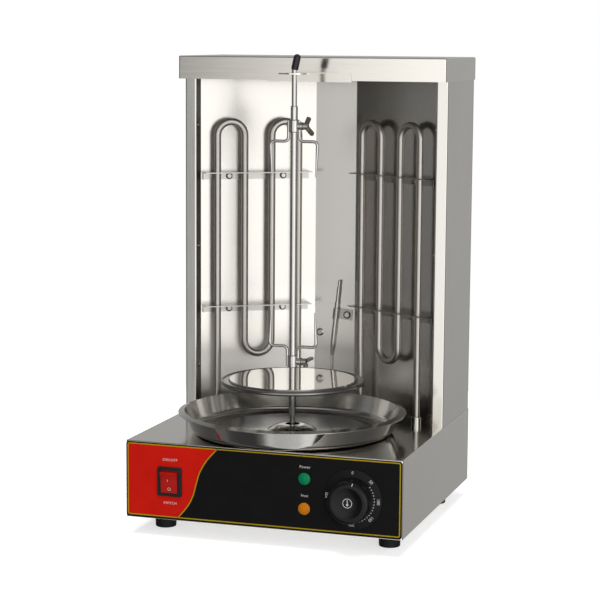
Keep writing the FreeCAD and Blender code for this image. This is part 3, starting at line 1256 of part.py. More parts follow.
def makeLamps():
    for name, level in (("power_lamp", "dim.lamp_upper"), ("heat_lamp", "dim.lamp_lower")):
        face = f"{FRONT} - dim.film_thick"
        lamp = newBody(name, "dim.lamp_x", face, f"dim.foot_height + {level}", "90", (1, 0, 0))
        depth = "(dim.film_thick + dim.sheet + dim.lamp_depth)"
        top = "(dim.lamp_rim + dim.lamp_dome)"
        curve = "((dim.lamp_lens ^ 2 + dim.lamp_dome ^ 2) / (2 * dim.lamp_dome))"
        revolve(lamp, [
            ("0", f"-{depth}"), ("dim.lamp_radius", f"-{depth}"), ("dim.lamp_radius", "0"),
            ("dim.lamp_lens", "0"), ("dim.lamp_lens", "dim.lamp_rim"),
            ("0", top, "0", f"{top} - {curve}", 1),
        ])
    ring = newBody("lamp_nut_pattern")
    subparts.pop()
    sketch = newSketch(ring, "XY")
    hexagon(sketch, "2 * dim.lamp_lens")
    circle(sketch, "0", "0", "dim.lamp_radius + dim.running_fit")
    pad(ring, sketch, "dim.lamp_nut_height")
    spots = []
    for level in ("dim.lamp_upper", "dim.lamp_lower"):
        spots.append(("dim.lamp_x", f"{FRONT} + dim.sheet", f"dim.foot_height + {level}", "-90", (1, 0, 0)))
    group("lamp_nuts", ring, spots)


def makeThermostat():
    x = "dim.dial_x"
    z = "dim.foot_height + dim.dial_height"
    face = f"({FRONT} - dim.film_thick)"
    ring = newBody("dial_ring", x, face, z, "90", (1, 0, 0))
    hole = "(dim.neck_radius + dim.running_fit)"
    revolve(ring, [
        (hole, "0"), ("dim.dial_radius - dim.edge_break", "0"), ("dim.dial_radius", "dim.edge_break"),
        ("dim.dial_radius", "dim.dial_edge"), ("dim.knob_radius + dim.dial_land", "dim.dial_thick"),
        (hole, "dim.dial_thick"),
    ])
    body = newBody("thermostat_body", x, f"{FRONT} + dim.sheet", z)
    half = "(dim.thermostat_width / 2)"
    bore = "(dim.knob_shaft_radius + dim.running_fit)"
    sketch = newSketch(body, "XZ")
    rectangle(sketch, f"-{half}", "-dim.thermostat_drop", half, half, "dim.thermostat_corner")
    pad(body, sketch, "dim.thermostat_depth", reverse=True)
    neck = newSketch(body, "XZ")
    circle(neck, "0", "0", "dim.neck_radius")
    circle(neck, "0", "0", bore)
    pad(body, neck, "dim.sheet + dim.film_thick + dim.dial_thick + dim.neck_reach")
    well = newSketch(body, "XZ")
    circle(well, "0", "0", bore)
    pocket(body, well, "dim.shaft_well")
    nut = newBody("thermostat_nut", x, f"{face} - dim.dial_thick", z, "90", (1, 0, 0))
    sketch = newSketch(nut, "XY")
    hexagon(sketch, "dim.nut_across")
    circle(sketch, "0", "0", hole)
    pad(nut, sketch, "dim.nut_height")
    seat = f"({face} - dim.dial_thick - dim.knob_gap)"
    knob = newBody("knob", x, seat, z, "90", (1, 0, 0))
    bore = "(dim.knob_shaft_radius + dim.press_fit)"
    sleeve = f"({bore} + dim.knob_sleeve)"
    sleeveEnd = "(dim.knob_hollow - dim.knob_sleeve_setback)"
    rim = "(dim.knob_radius - dim.knob_wall)"
    edge = "(dim.knob_radius - dim.knob_taper)"
    shoulder = "(dim.knob_length - dim.knob_round)"
    depth = "(dim.knob_length - dim.knob_face)"
    disc = "(dim.knob_length - dim.knob_dish)"
    curve = "(((dim.knob_dish_radius - dim.knob_disc_radius) ^ 2 + dim.knob_dish ^ 2) / (2 * dim.knob_dish))"
    revolve(knob, [
        (rim, "0"), ("dim.knob_radius", "0"), (edge, shoulder),
        (f"{edge} - dim.knob_round", "dim.knob_length", f"{edge} - dim.knob_round", shoulder, 1),
        ("dim.knob_dish_radius", "dim.knob_length"),
        ("dim.knob_disc_radius", disc, "dim.knob_disc_radius", f"{disc} + {curve}", -1),
        ("0", disc), ("0", depth), (bore, depth), (bore, sleeveEnd), (sleeve, sleeveEnd),
        (sleeve, "dim.knob_hollow"), (rim, "dim.knob_hollow"),
    ])
    shaft = newBody("thermostat_shaft", x, f"{FRONT} + dim.sheet", z, "90", (1, 0, 0))
    tip = f"(dim.sheet + dim.film_thick + dim.dial_thick + dim.knob_gap + {depth} - dim.seam_gap)"
    end = "(dim.edge_break - dim.shaft_well)"
    revolve(shaft, [
        ("0", end), ("dim.knob_shaft_radius", end), ("dim.knob_shaft_radius", f"{tip} - dim.edge_break"),
        ("dim.knob_shaft_radius - dim.edge_break", tip), ("0", tip),
    ])


# Supply entry at the back
def makeSupply():
    z = "dim.foot_height + dim.gland_height"
    gland = newBody("cord_gland", "dim.gland_x", BACK, z, "-90", (1, 0, 0))
    f = "dim.gland_flange"
    inside = f"(-dim.sheet - {f} - dim.gland_thread_end)"
    dome = "(dim.gland_radius - dim.gland_step)"
    revolve(gland, [
        ("dim.gland_bore", inside), ("dim.gland_neck", inside), ("dim.gland_neck", "0"),
        ("dim.gland_radius", "0"), ("dim.gland_radius", f), (dome, f),
        (dome, "dim.gland_reach - dim.gland_taper"), ("dim.gland_bore + dim.gland_lip", "dim.gland_reach"),
        ("dim.gland_bore", "dim.gland_reach"),
    ])
    nut = newBody("gland_nut", "dim.gland_x", f"{BACK} - dim.sheet", z, "90", (1, 0, 0))
    sketch = newSketch(nut, "XY")
    hexagon(sketch, "2 * dim.gland_radius")
    circle(sketch, "0", "0", "dim.gland_neck + dim.running_fit")
    pad(nut, sketch, f)
    y = f"{BACK} - dim.block_from_back"
    block = newBody("terminal_block", "dim.block_offset", y, "dim.foot_height + dim.sheet")
    half = "(dim.block_length / 2)"
    steps = (("dim.block_width / 2", "dim.block_step"), ("dim.block_width / 4", "dim.block_height"))
    for deep, height in steps:
        sketch = newSketch(block, "XY")
        rectangle(sketch, f"-{half}", f"-{deep}", half, deep)
        pad(block, sketch, height)
    slots = newSketch(block, "XY", "dim.block_height")
    start = f"(dim.block_slot - {half})"
    wide = "(dim.block_slot_width / 2)"
    rectangle(slots, start, f"-{wide}", f"{start} + dim.block_slot", wide)
    pitch = "(dim.block_length - 3 * dim.block_slot) / (dim.block_slots - 1)"
    slotRow(block, slots, "dim.block_slots", pitch, "dim.block_slot_depth")


makeBase()
makeFeet()
makePanelFilm()
makeCabinet()
makeHolder()
makeElements()
makeBrackets()
makePostScrews()
makeProbe()
makeProbeScrews()
makePan()
makeSpit()
makeFork("upper_fork", UPPER_FORK, 1)
makeWingScrew("upper_wing_screw", UPPER_FORK, "dim.upper_wing_turn")
makeFork("lower_fork", LOWER_FORK, -1)
makeWingScrew("lower_wing_screw", LOWER_FORK, "dim.lower_wing_turn")
makeDrive()
makeSwitch()
makeLamps()
makeThermostat()
makeSupply()

doc.recompute()
for item in doc.Objects:
    if "Invalid" in item.State or "Error" in item.State:
        raise ValueError(f"{item.Label} did not build: {item.getStatusString()}")
for item in subparts:
    if item.Shape.isNull() or not item.Shape.isValid():
        raise ValueError(f"{item.Label} has no valid shape")

os.makedirs("parts", exist_ok=True)
for item in subparts:
    item.Shape.exportStep(f"parts/{item.Label}.step")
    print(item.Label, len(item.Shape.Solids), round(item.Shape.Volume, 1))
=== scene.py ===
import math

import bmesh
import bpy
from mathutils import Matrix, Vector


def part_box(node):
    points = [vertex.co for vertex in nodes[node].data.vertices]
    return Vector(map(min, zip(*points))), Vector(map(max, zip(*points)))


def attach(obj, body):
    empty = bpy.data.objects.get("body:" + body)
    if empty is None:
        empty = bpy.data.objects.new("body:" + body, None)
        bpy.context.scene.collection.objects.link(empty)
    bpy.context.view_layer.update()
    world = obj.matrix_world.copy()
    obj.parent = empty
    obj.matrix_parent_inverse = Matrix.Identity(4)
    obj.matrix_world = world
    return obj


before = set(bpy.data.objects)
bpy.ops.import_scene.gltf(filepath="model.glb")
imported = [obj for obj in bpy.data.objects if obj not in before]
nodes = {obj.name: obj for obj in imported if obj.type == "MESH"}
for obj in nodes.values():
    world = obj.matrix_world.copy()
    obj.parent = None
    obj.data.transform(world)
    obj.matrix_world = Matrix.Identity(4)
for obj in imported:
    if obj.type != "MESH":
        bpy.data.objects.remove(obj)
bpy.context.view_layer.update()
scene = bpy.context.scene
milli = 0.001

# Camera at the photograph's place and angle, in millimetres and degrees.
shot = {
    "place": (606.893, -1902.139, 507.028),
    "yaw": 17.87009,
    "pitch": 7.914037,
    "roll": 0.383824,
    "lens": 115.3205,
    "sensor": 36.0,
    "reach": 60,  # metres
}


def makeCamera():
    yaw, pitch, roll = (math.radians(shot[name]) for name in ("yaw", "pitch", "roll"))
    forward = Vector((-math.sin(yaw) * math.cos(pitch), math.cos(yaw) * math.cos(pitch), -math.sin(pitch)))
    level = Vector((math.cos(yaw), math.sin(yaw), 0))
    upward = level.cross(forward)
    right = level * math.cos(roll) + upward * math.sin(roll)
    up = upward * math.cos(roll) - level * math.sin(roll)
    data = bpy.data.cameras.new("photoCamera")
    data.lens = shot["lens"]
    data.sensor_width = shot["sensor"]
    data.clip_end = shot["reach"]
    camera = bpy.data.objects.new("photoCamera", data)
    axes = Matrix((right, up, -forward)).transposed().to_4x4()
    camera.matrix_world = Matrix.Translation(Vector(shot["place"]) * milli) @ axes
    scene.collection.objects.link(camera)
    scene.camera = camera


makeCamera()
scene.view_settings.view_transform = "Standard"
print("stage: camera")


# Small helpers for node trees. A value is either another node's socket or a plain number or colour.
def addNode(tree, kind, **settings):
    node = tree.nodes.new(kind)
    for key, value in settings.items():
        setattr(node, key, value)
    return node


def feed(tree, value, socket):
    if isinstance(value, bpy.types.NodeSocket):
        tree.links.new(value, socket)
    else:
        socket.default_value = value


def feedAll(tree, values, node):
    for value, socket in zip(values, node.inputs):
        feed(tree, value, socket)
    return node.outputs


def mathNode(tree, operation, *values):
    node = addNode(tree, "ShaderNodeMath", operation=operation)
    return feedAll(tree, values, node)["Value"]


def vectorNode(tree, operation, *values):
    node = addNode(tree, "ShaderNodeVectorMath", operation=operation)
    return feedAll(tree, values, node)["Value" if operation == "LENGTH" else "Vector"]


def rangeNode(tree, value, low, high, newLow, newHigh):
    node = addNode(tree, "ShaderNodeMapRange", clamp=True)
    tree.links.new(value, node.inputs["Value"])
    for label, number in (("From Min", low), ("From Max", high), ("To Min", newLow), ("To Max", newHigh)):
        node.inputs[label].default_value = number
    return node.outputs["Result"]


def mixNode(tree, factor, first, second, kind="RGBA"):
    node = addNode(tree, "ShaderNodeMix", data_type=kind)
    for label, value in (("Factor", factor), ("A", first), ("B", second)):
        feed(tree, value, node.inputs[label])
    return node.outputs["Result"]


def splitNode(tree, vector):
    node = addNode(tree, "ShaderNodeSeparateXYZ")
    tree.links.new(vector, node.inputs[0])
    return node.outputs


def grey(level):
    return (level, level, level)


# Shared shader groups give masks that the materials turn into colour, roughness and relief.
grain = {
    "scratchScale": 900,
    "cloudScale": 14,
    "detail": 3,
    "roughness": 0.6,
    "toneShares": (0.6, 0.4),  # of scratches and clouds
    "toneLimits": (0.35, 0.65),
    "roughShares": (0.06, 0.048),
    "roughLimits": (0.036, 0.072),
    "depth": 0.0002,
}

specks = {
    "poreScale": 1600,
    "poreDetail": 2,
    "mottleScale": 45,
    "mottleDetail": 3,
    "roughness": 0.5,
    "mottleLimits": (0.3, 0.7),
    "depth": 0.0001,
}


def newGroup(name, inputs, outputs):
    group = bpy.data.node_groups.new(name, "ShaderNodeTree")
    for label, kind, value in inputs:
        group.interface.new_socket(name=label, in_out="INPUT", socket_type=kind).default_value = value
    for label in outputs:
        group.interface.new_socket(name=label, in_out="OUTPUT", socket_type="NodeSocketFloat")
    return group, group.nodes.new("NodeGroupInput"), group.nodes.new("NodeGroupOutput")


def addNoise(group, source, vector, scale, detail, roughness, output):
    noise = addNode(group, "ShaderNodeTexNoise")
    noise.inputs["Detail"].default_value = detail
    noise.inputs["Roughness"].default_value = roughness
    size = mathNode(group, "MULTIPLY", source.outputs["Fineness"], scale)
    group.links.new(size, noise.inputs["Scale"])
    group.links.new(vector, noise.inputs["Vector"])
    group.links.new(noise.outputs["Fac"], output)


def makeGrainGroup():
    # Fine parallel scratches of rolled or brushed sheet, and a slow cloud over them.
    group, source, result = newGroup("sheetGrain", [
        ("Vector", "NodeSocketVector", (0, 0, 0)),
        ("Stretch", "NodeSocketVector", (1, 1, 1)),
        ("Fineness", "NodeSocketFloat", 1.0),
    ], ["Scratches", "Clouds"])
    plain = source.outputs["Vector"]
    stretched = vectorNode(group, "MULTIPLY", plain, source.outputs["Stretch"])
    for label, spot, scale in (
            ("Scratches", stretched, grain["scratchScale"]), ("Clouds", plain, grain["cloudScale"])):
        addNoise(group, source, spot, scale, grain["detail"], grain["roughness"], result.inputs[label])
    return group


def makeSpeckGroup():
    # Fine pores and a slow mottle for moulded plastic, print and rubber.
    group, source, result = newGroup("mouldedSpecks", [
        ("Vector", "NodeSocketVector", (0, 0, 0)),
        ("Fineness", "NodeSocketFloat", 1.0),
    ], ["Pores", "Mottle"])
    spot = source.outputs["Vector"]
    for label, scale, detail in (
            ("Pores", specks["poreScale"], specks["poreDetail"]),
            ("Mottle", specks["mottleScale"], specks["mottleDetail"])):
        addNoise(group, source, spot, scale, detail, specks["roughness"], result.inputs[label])
    return group


grainGroup = makeGrainGroup()
speckGroup = makeSpeckGroup()


def newMaterial(name):
    material = bpy.data.materials.new(name)
    material.use_nodes = True
    tree = material.node_tree
    place = addNode(tree, "ShaderNodeTexCoord")
    return material, tree, tree.nodes["Principled BSDF"], place.outputs["Object"]


def addGroup(tree, group, spot, fineness):
    node = addNode(tree, "ShaderNodeGroup", node_tree=group)
    tree.links.new(spot, node.inputs["Vector"])
    node.inputs["Fineness"].default_value = fineness
    return node


def addSkin(tree, shader, tone, dark, light, rough, height, relief, depth):
    # Colour by the tone mask, a roughness that varies, and a relief from a height mask.
    tree.links.new(mixNode(tree, tone, (*dark, 1), (*light, 1)), shader.inputs["Base Color"])
    tree.links.new(rough, shader.inputs["Roughness"])
    bump = addNode(tree, "ShaderNodeBump")
    bump.inputs["Strength"].default_value = relief
    bump.inputs["Distance"].default_value = depth
    tree.links.new(height, bump.inputs["Height"])
    tree.links.new(bump.outputs["Normal"], shader.inputs["Normal"])


def metal(name, dark, light, rough, stretch=(1, 1, 1), fineness=1.0, relief=0.05):
    material, tree, shader, spot = newMaterial(name)
    shader.inputs["Metallic"].default_value = 1.0
    group = addGroup(tree, grainGroup, spot, fineness)
    group.inputs["Stretch"].default_value = stretch

    def blend(shares):
        parts = [mathNode(tree, "MULTIPLY", group.outputs[label], share)
                 for label, share in zip(("Scratches", "Clouds"), shares)]
        return mathNode(tree, "ADD", *parts)

    tone = rangeNode(tree, blend(grain["toneShares"]), *grain["toneLimits"], 0, 1)
    wave = rangeNode(tree, blend(grain["roughShares"]), *grain["roughLimits"], *rough)
    addSkin(tree, shader, tone, dark, light, wave, group.outputs["Scratches"], relief, grain["depth"])
    return material


def plastic(name, dark, light, rough, specular=0.5, fineness=1.0, relief=0.1):
    material, tree, shader, spot = newMaterial(name)
    shader.inputs["Specular IOR Level"].default_value = specular
    group = addGroup(tree, speckGroup, spot, fineness)
    tone = rangeNode(tree, group.outputs["Mottle"], *specks["mottleLimits"], 0, 1)
    wave = rangeNode(tree, group.outputs["Mottle"], *specks["mottleLimits"], *rough)
    addSkin(tree, shader, tone, dark, light, wave, group.outputs["Pores"], relief, specks["depth"])
    return material


finishes = {
    "housing": metal("housingSteel", (0.66, 0.635, 0.585), (0.72, 0.692, 0.638), rough=(0.1, 0.16),
                     stretch=(0.02, 1, 1), relief=0.01),
    "sides": metal("sideSteel", (0.6, 0.583, 0.545), (0.655, 0.637, 0.596), rough=(0.1, 0.17),
                   stretch=(1, 1, 0.02), relief=0.01),
    "reflector": metal("reflectorSteel", (0.5, 0.484, 0.452), (0.53, 0.513, 0.48), rough=(0.18, 0.24),
                       stretch=(1, 1, 0.02), relief=0.015),
    "bracket": metal("bracketSteel", (0.36, 0.35, 0.33), (0.44, 0.43, 0.405), rough=(0.24, 0.36)),
    "screw": metal("screwSteel", (0.31, 0.3, 0.28), (0.39, 0.375, 0.35), rough=(0.12, 0.2)),
    "wing": metal("wingMetal", (0.46, 0.43, 0.38), (0.56, 0.525, 0.47), rough=(0.22, 0.32)),
    "element": metal("elementAlloy", (0.42, 0.4, 0.37), (0.47, 0.45, 0.415), rough=(0.3, 0.36),
                     stretch=(1, 1, 0.3), fineness=0.6, relief=0.02),
    "ferrule": metal("ferruleSteel", (0.55, 0.53, 0.5), (0.66, 0.64, 0.6), rough=(0.18, 0.3)),
    "bush": metal("bushBrass", (0.5, 0.4, 0.2), (0.6, 0.5, 0.27), rough=(0.2, 0.3)),
    "bulb": metal("bulbMetal", (0.46, 0.44, 0.41), (0.52, 0.5, 0.465), rough=(0.2, 0.28),
                  stretch=(1, 1, 0.3), fineness=0.6, relief=0.02),
    "pan": metal("panSteel", (0.54, 0.53, 0.51), (0.6, 0.59, 0.57), rough=(0.1, 0.15),
                 fineness=0.5, relief=0.006),
    "plate": metal("plateSteel", (0.7, 0.68, 0.64), (0.76, 0.74, 0.7), rough=(0.03, 0.08),
                   fineness=0.6, relief=0.01),
    "spit": metal("spitSteel", (0.53, 0.515, 0.49), (0.6, 0.585, 0.56), rough=(0.2, 0.28),
                  stretch=(1, 1, 0.05)),
    "motor": metal("motorPaint", (0.2, 0.2, 0.21), (0.26, 0.26, 0.27), rough=(0.4, 0.5)),
    "film": plastic("panelFilm", grey(0.0042), grey(0.0054), rough=(0.3, 0.36), specular=0.06, relief=0.03),
    "redInk": plastic("redInk", (0.42, 0.0055, 0.0015), (0.46, 0.0075, 0.0025), rough=(0.3, 0.36),
                      specular=0.06, relief=0.03),
    "yellowInk": plastic("yellowInk", (0.28, 0.19, 0.003), (0.32, 0.22, 0.005), rough=(0.3, 0.36),
                         specular=0.06, relief=0.03),
    "whiteInk": plastic("whiteInk", (0.42, 0.41, 0.39), (0.48, 0.47, 0.45), rough=(0.35, 0.45),
                        specular=0.2, relief=0.03),
    "rubber": plastic("footRubber", grey(0.005), grey(0.009), rough=(0.55, 0.7), specular=0.25, relief=0.25),
    "grip": plastic("gripPlastic", grey(0.006), grey(0.01), rough=(0.3, 0.4), specular=0.4, relief=0.15),
    "bezel": plastic("bezelPlastic", grey(0.008), grey(0.012), rough=(0.4, 0.5), specular=0.2, relief=0.15),
    "rocker": plastic("rockerPlastic", (0.31, 0.005, 0.003), (0.36, 0.008, 0.004), rough=(0.28, 0.36),
                      specular=0.12, relief=0.12),
    "greenLens": plastic("greenLens", (0.0, 0.15, 0.057), (0.0005, 0.17, 0.066), rough=(0.2, 0.28),
                         specular=0.12, relief=0.05),
    "amberLens": plastic("amberLens", (0.41, 0.13, 0.003), (0.48, 0.165, 0.005), rough=(0.2, 0.28),
                         specular=0.12, relief=0.05),
    "innerPlastic": plastic("innerPlastic", grey(0.02), grey(0.03), rough=(0.45, 0.55)),
    "dial": plastic("dialPlastic", grey(0.004), grey(0.0055), rough=(0.3, 0.4), specular=0.14, relief=0.05),
    "knob": plastic("knobPlastic", grey(0.003), grey(0.0045), rough=(0.24, 0.32), specular=0.25, relief=0.06),
}

# Where light and shade are painted into the steel's colour, in metres from the origin of the part.
paintedLightZones = {
    "wallX": 0.1433,  # inner faces of the side panels
    "flangeY": 0.0243,  # backs of their front flanges
    "spitAxis": (0, -0.043, 0),
    "rimRadius": (0.065, 0.066),
    "footHeight": (0.17, 0.235),
    "rightFacet": (0.02, 0.06),
    "rightShare": 0.3,
}


def paintedShadeInside(tree, spot):
    # 1 on the faces that look into the cabinet, where painted shade darkens the steel.
    parts = splitNode(tree, spot)
    between = mathNode(tree, "LESS_THAN", mathNode(tree, "ABSOLUTE", parts["X"]), paintedLightZones["wallX"])
    behind = mathNode(tree, "GREATER_THAN", parts["Y"], paintedLightZones["flangeY"])
    return mathNode(tree, "MULTIPLY", between, behind)


def paintedShadeRim(tree, spot):
    # 1 on the rolled rim of the meat plate, outside its pressed step, where a painted dark reflection darkens
    # the steel.
    away = vectorNode(tree, "SUBTRACT", spot, paintedLightZones["spitAxis"])
    flat = vectorNode(tree, "MULTIPLY", away, (1, 1, 0))
    return rangeNode(tree, vectorNode(tree, "LENGTH", flat), *paintedLightZones["rimRadius"], 0, 1)


def paintedLightFoot(tree, spot):
    # 1 on the foot of the reflector, made matt there and lighter with painted light, less so on its right.
    parts = splitNode(tree, spot)
    low = rangeNode(tree, parts["Z"], *paintedLightZones["footHeight"], 1, 0)
    side = rangeNode(tree, parts["X"], *paintedLightZones["rightFacet"], 1, paintedLightZones["rightShare"])
    return mathNode(tree, "MULTIPLY", low, side)


def paintLightAndShadeWhere(material, maskOf, colour, rough):
    # Gives a finish another colour and roughness where the mask is 1; the colour is painted light or shade.
    tree = material.node_tree
    shader = tree.nodes["Principled BSDF"]
    mask = maskOf(tree, tree.nodes["Texture Coordinate"].outputs["Object"])
    for label, kind, value in (("Base Color", "RGBA", (*colour, 1)), ("Roughness", "FLOAT", rough)):
        plain = shader.inputs[label].links[0].from_socket
        tree.links.new(mixNode(tree, mask, plain, value, kind), shader.inputs[label])


# Painted shade: the inner faces of the side panels are made dark.
paintLightAndShadeWhere(finishes["sides"], paintedShadeInside, colour=(0.22, 0.215, 0.205), rough=0.3)
# Painted light: the foot of the reflector is made lighter, less so on its right.
paintLightAndShadeWhere(finishes["reflector"], paintedLightFoot, colour=(0.76, 0.735, 0.69), rough=0.36)
# Painted dark reflection on the rolled rim of the meat plate.
paintLightAndShadeWhere(finishes["plate"], paintedShadeRim, colour=(0.26, 0.25, 0.235), rough=0.24)
print("stage: finishes")

nodeFinishes = {
    "housing": ["base_shell", "bottom_plate", "top_lid", "spit_holder", "back_panel"],
    "sides": ["left_side_panel", "right_side_panel"],
    "reflector": ["heat_reflector"],
    "bracket": ["upper_left_bracket", "upper_right_bracket", "lower_left_bracket", "lower_right_bracket",
                "bulb_clip"],
    "screw": ["foot_screws", "bracket_screws", "post_screws", "probe_screws", "thermostat_nut",
              "motor_standoffs"],
    "wing": ["upper_wing_screw", "lower_wing_screw"],
    "element": ["left_element", "right_element"],
    "ferrule": ["left_element_ferrules", "right_element_ferrules"],
    "bush": ["shaft_bush"],
    "bulb": ["thermostat_bulb", "capillary_tube"],
    "pan": ["drip_pan"],
    "plate": ["meat_plate", "plate_collar"],
    "spit": ["spit_tube", "top_pin", "upper_fork", "lower_fork", "drive_shaft", "thermostat_shaft"],
    "motor": ["gear_motor", "motor_plate"],
    "film": ["control_panel"],
    "rubber": ["foot_front_left", "foot_front_right", "foot_back_left", "foot_back_right"],
    "grip": ["pin_grip"],
    "bezel": ["switch_body"],
    "rocker": ["rocker_button"],
    "greenLens": ["power_lamp"],
    "amberLens": ["heat_lamp"],
    "innerPlastic": ["lamp_nuts", "thermostat_body", "terminal_block", "gland_nut", "cord_gland"],
    "dial": ["dial_ring"],
    "knob": ["knob"],
}
for finish, names in nodeFinishes.items():
    for name in names:
        slots = nodes[name].data.materials
        slots.clear()
        slots.append(finishes[finish])
print("stage: solids dressed")


# Printed and inlaid pieces, worked out in millimetres.
def addPiece(name, mesh, body):
    piece = bpy.data.objects.new(name, mesh)
    scene.collection.objects.link(piece)
    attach(piece, body)


def closedMesh(name, points, faces, finish, body, move=Matrix.Identity(4)):
    # A piece of closed shells, whose faces are turned outwards here.
    mesh = bpy.data.meshes.new(name)
    mesh.from_pydata([(move @ Vector(point)) * milli for point in points], [], faces)
    shell = bmesh.new()
    shell.from_mesh(mesh)
    bmesh.ops.recalc_face_normals(shell, faces=shell.faces)
    shell.to_mesh(mesh)
    shell.free()
    mesh.materials.append(finishes[finish])
    addPiece(name, mesh, body)


def circle(x, z, radius, count):
    angles = (2 * math.pi * k / count for k in range(count))
    return [Vector((x + radius * math.cos(angle), z + radius * math.sin(angle))) for angle in angles]


def rectangle(left, low, right, high):
    return [(left, low), (right, low), (right, high), (left, high)]


def quads(first, second, count):
    # Walls between two loops of points, given where each loop starts.
    return [[first + k, second + k, second + (k + 1) % count, first + (k + 1) % count] for k in range(count)]


def addOutline(points, faces, corners, front, thick):
    # A slab with the given corners.
    start, count = len(points), len(corners)
    for y in (front - thick, front):
        points += [(x, y, z) for x, z in corners]
    faces += [[start + k for k in range(count)], [start + count + k for k in reversed(range(count))]]
    faces += quads(start, start + count, count)


def addStrip(points, faces, line, width, closed, front, thick):
    # A bar of even width along a line, with four points across it at every spot.
    start, count = len(points), len(line)
    for k, spot in enumerate(line):
        before = line[k - 1] if closed else line[max(k - 1, 0)]
        after = line[(k + 1) % count] if closed else line[min(k + 1, count - 1)]
        run = after - before
        across = Vector((-run.y, run.x)).normalized() * width / 2
        for side, y in ((-1, front - thick), (1, front - thick), (1, front), (-1, front)):
            corner = spot + across * side
            points.append((corner.x, y, corner.y))
    for k in range(count if closed else count - 1):
        faces += quads(start + 4 * k, start + 4 * ((k + 1) % count), 4)
    if not closed:
        faces += [[end + side for side in range(4)] for end in (start, start + 4 * (count - 1))]


def inkSlab(name, outlines, strips, front, thick, finish, body, move=Matrix.Identity(4)):
    # Thin solid print on a face that looks along -Y. An outline is a loop of (x, z) corners, and a strip
    # is (line, width, closed).
    points, faces = [], []
    for corners in outlines:
        addOutline(points, faces, corners, front, thick)
    for line, width, closed in strips:
        addStrip(points, faces, line, width, closed, front, thick)
    closedMesh(name, points, faces, finish, body, move)


panel = {
    "front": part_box("control_panel")[0].y / milli,
    "low": 19.0,  # foot of the film above the table
    "lineLeft": -142.5,
    "lineRight": 142.4,
    "lineLow": 3.1,
    "lineHigh": 76.3,
    "lineCorner": 1.6,
    "cornerSteps": 6,
    "lineWidth": 1.15,
    "fieldInk": 0.06,  # thickness of each print
    "lineInk": 0.03,
    "wordInk": 0.03,
    "curve": [(-46.6, 76.3), (-57.0, 64.7), (-64.6, 52.2), (-68.6, 40.0), (-71.6, 28.6), (-76.0, 18.8),
              (-82.2, 10.2), (-88.6, 3.1)],
    "curveSteps": 6,
    "words": [  # words, x, height of the centre above the film's foot, cap height, widening
        ("ON/OFF", -96.9, 61.7, 2.7, 1.2),
        ("SWITCH", -97.0, 17.4, 2.5, 1.1),
        ("Power", 45.5, 65.4, 2.9, 1.05),
        ("Heat", 45.3, 36.6, 2.6, 1.05),
    ],
}


def smoothLine(points, steps):
    # Runs a smooth line through every point.
    line = []
    padded = [points[0], *points, points[-1]]
    for k in range(1, len(padded) - 2):
        before, start, end, after = (Vector(padded[k + step]) for step in (-1, 0, 1, 2))
        for step in range(steps):
            t = step / steps
            line.append(0.5 * ((2 * start) + (end - before) * t
                               + (2 * before - 5 * start + 4 * end - after) * t * t
                               + (3 * start - before - 3 * end + after) * t ** 3))
    line.append(Vector(points[-1]))
    return line


def roundedLoop(left, low, right, high, radius, steps):
    loop = []
    corners = [(right - radius, low + radius, -90), (right - radius, high - radius, 0),
               (left + radius, high - radius, 90), (left + radius, low + radius, 180)]
    for x, z, start in corners:
        for k in range(steps + 1):
            angle = math.radians(start + 90 * k / steps)
            loop.append(Vector((x + radius * math.cos(angle), z + radius * math.sin(angle))))
    return loop


def makePanelPrint():
    low = panel["low"]
    curve = [point + Vector((0, low)) for point in smoothLine(panel["curve"], panel["curveSteps"])]
    loop = roundedLoop(panel["lineLeft"], panel["lineLow"] + low, panel["lineRight"], panel["lineHigh"] + low,
                       panel["lineCorner"], panel["cornerSteps"])
    field = [spot for spot in loop if spot.x < 0] + list(reversed(curve))
    inkSlab("redField", [field], [], panel["front"], panel["fieldInk"], "redInk", "housing")
    strips = [(loop, panel["lineWidth"], True), (curve, panel["lineWidth"], False)]
    inkSlab("yellowLines", [], strips, panel["front"] - panel["fieldInk"], panel["lineInk"], "yellowInk",
            "housing")


makePanelPrint()

letters = {
    "capShare": 0.7,  # cap height as a share of the type's size
    "curveSteps": 3,
}


def lettering(name, texts, thick, lean):
    # A text is (words, spot of its centre, cap height, turn in degrees, widening), and its top leans back.
    merged = bmesh.new()
    for words, spot, height, turn, widen in texts:
        curve = bpy.data.curves.new("letters", "FONT")
        curve.body = words
        curve.align_x = "CENTER"
        curve.align_y = "CENTER"
        curve.size = height / letters["capShare"] * milli
        curve.space_character = widen
        curve.extrude = thick / 2 * milli
        curve.resolution_u = letters["curveSteps"]
        holder = bpy.data.objects.new("letters", curve)
        scene.collection.objects.link(holder)
        bpy.context.view_layer.update()
        depsgraph = bpy.context.evaluated_depsgraph_get()
        shapes = bpy.data.meshes.new_from_object(holder.evaluated_get(depsgraph))
        standing = Matrix.Rotation(math.radians(90), 4, "X") @ Matrix.Rotation(math.radians(turn), 4, "Z")
        standing = standing @ Matrix.Rotation(math.radians(-lean), 4, "X")
        shapes.transform(Matrix.Translation(Vector(spot) * milli) @ standing)
        merged.from_mesh(shapes)
        bpy.data.objects.remove(holder)
        bpy.data.curves.remove(curve)
        bpy.data.meshes.remove(shapes)
    mesh = bpy.data.meshes.new(name)
    merged.to_mesh(mesh)
    merged.free()
    mesh.materials.append(finishes["whiteInk"])
    addPiece(name, mesh, "housing")


def makePanelWords():
    front = panel["front"] - panel["fieldInk"] - panel["wordInk"] / 2
    texts = [(words, (x, front, panel["low"] + z), height, 0, widen)
             for words, x, z, height, widen in panel["words"]]
    lettering("panelWords", texts, panel["wordInk"], 0)


makePanelWords()

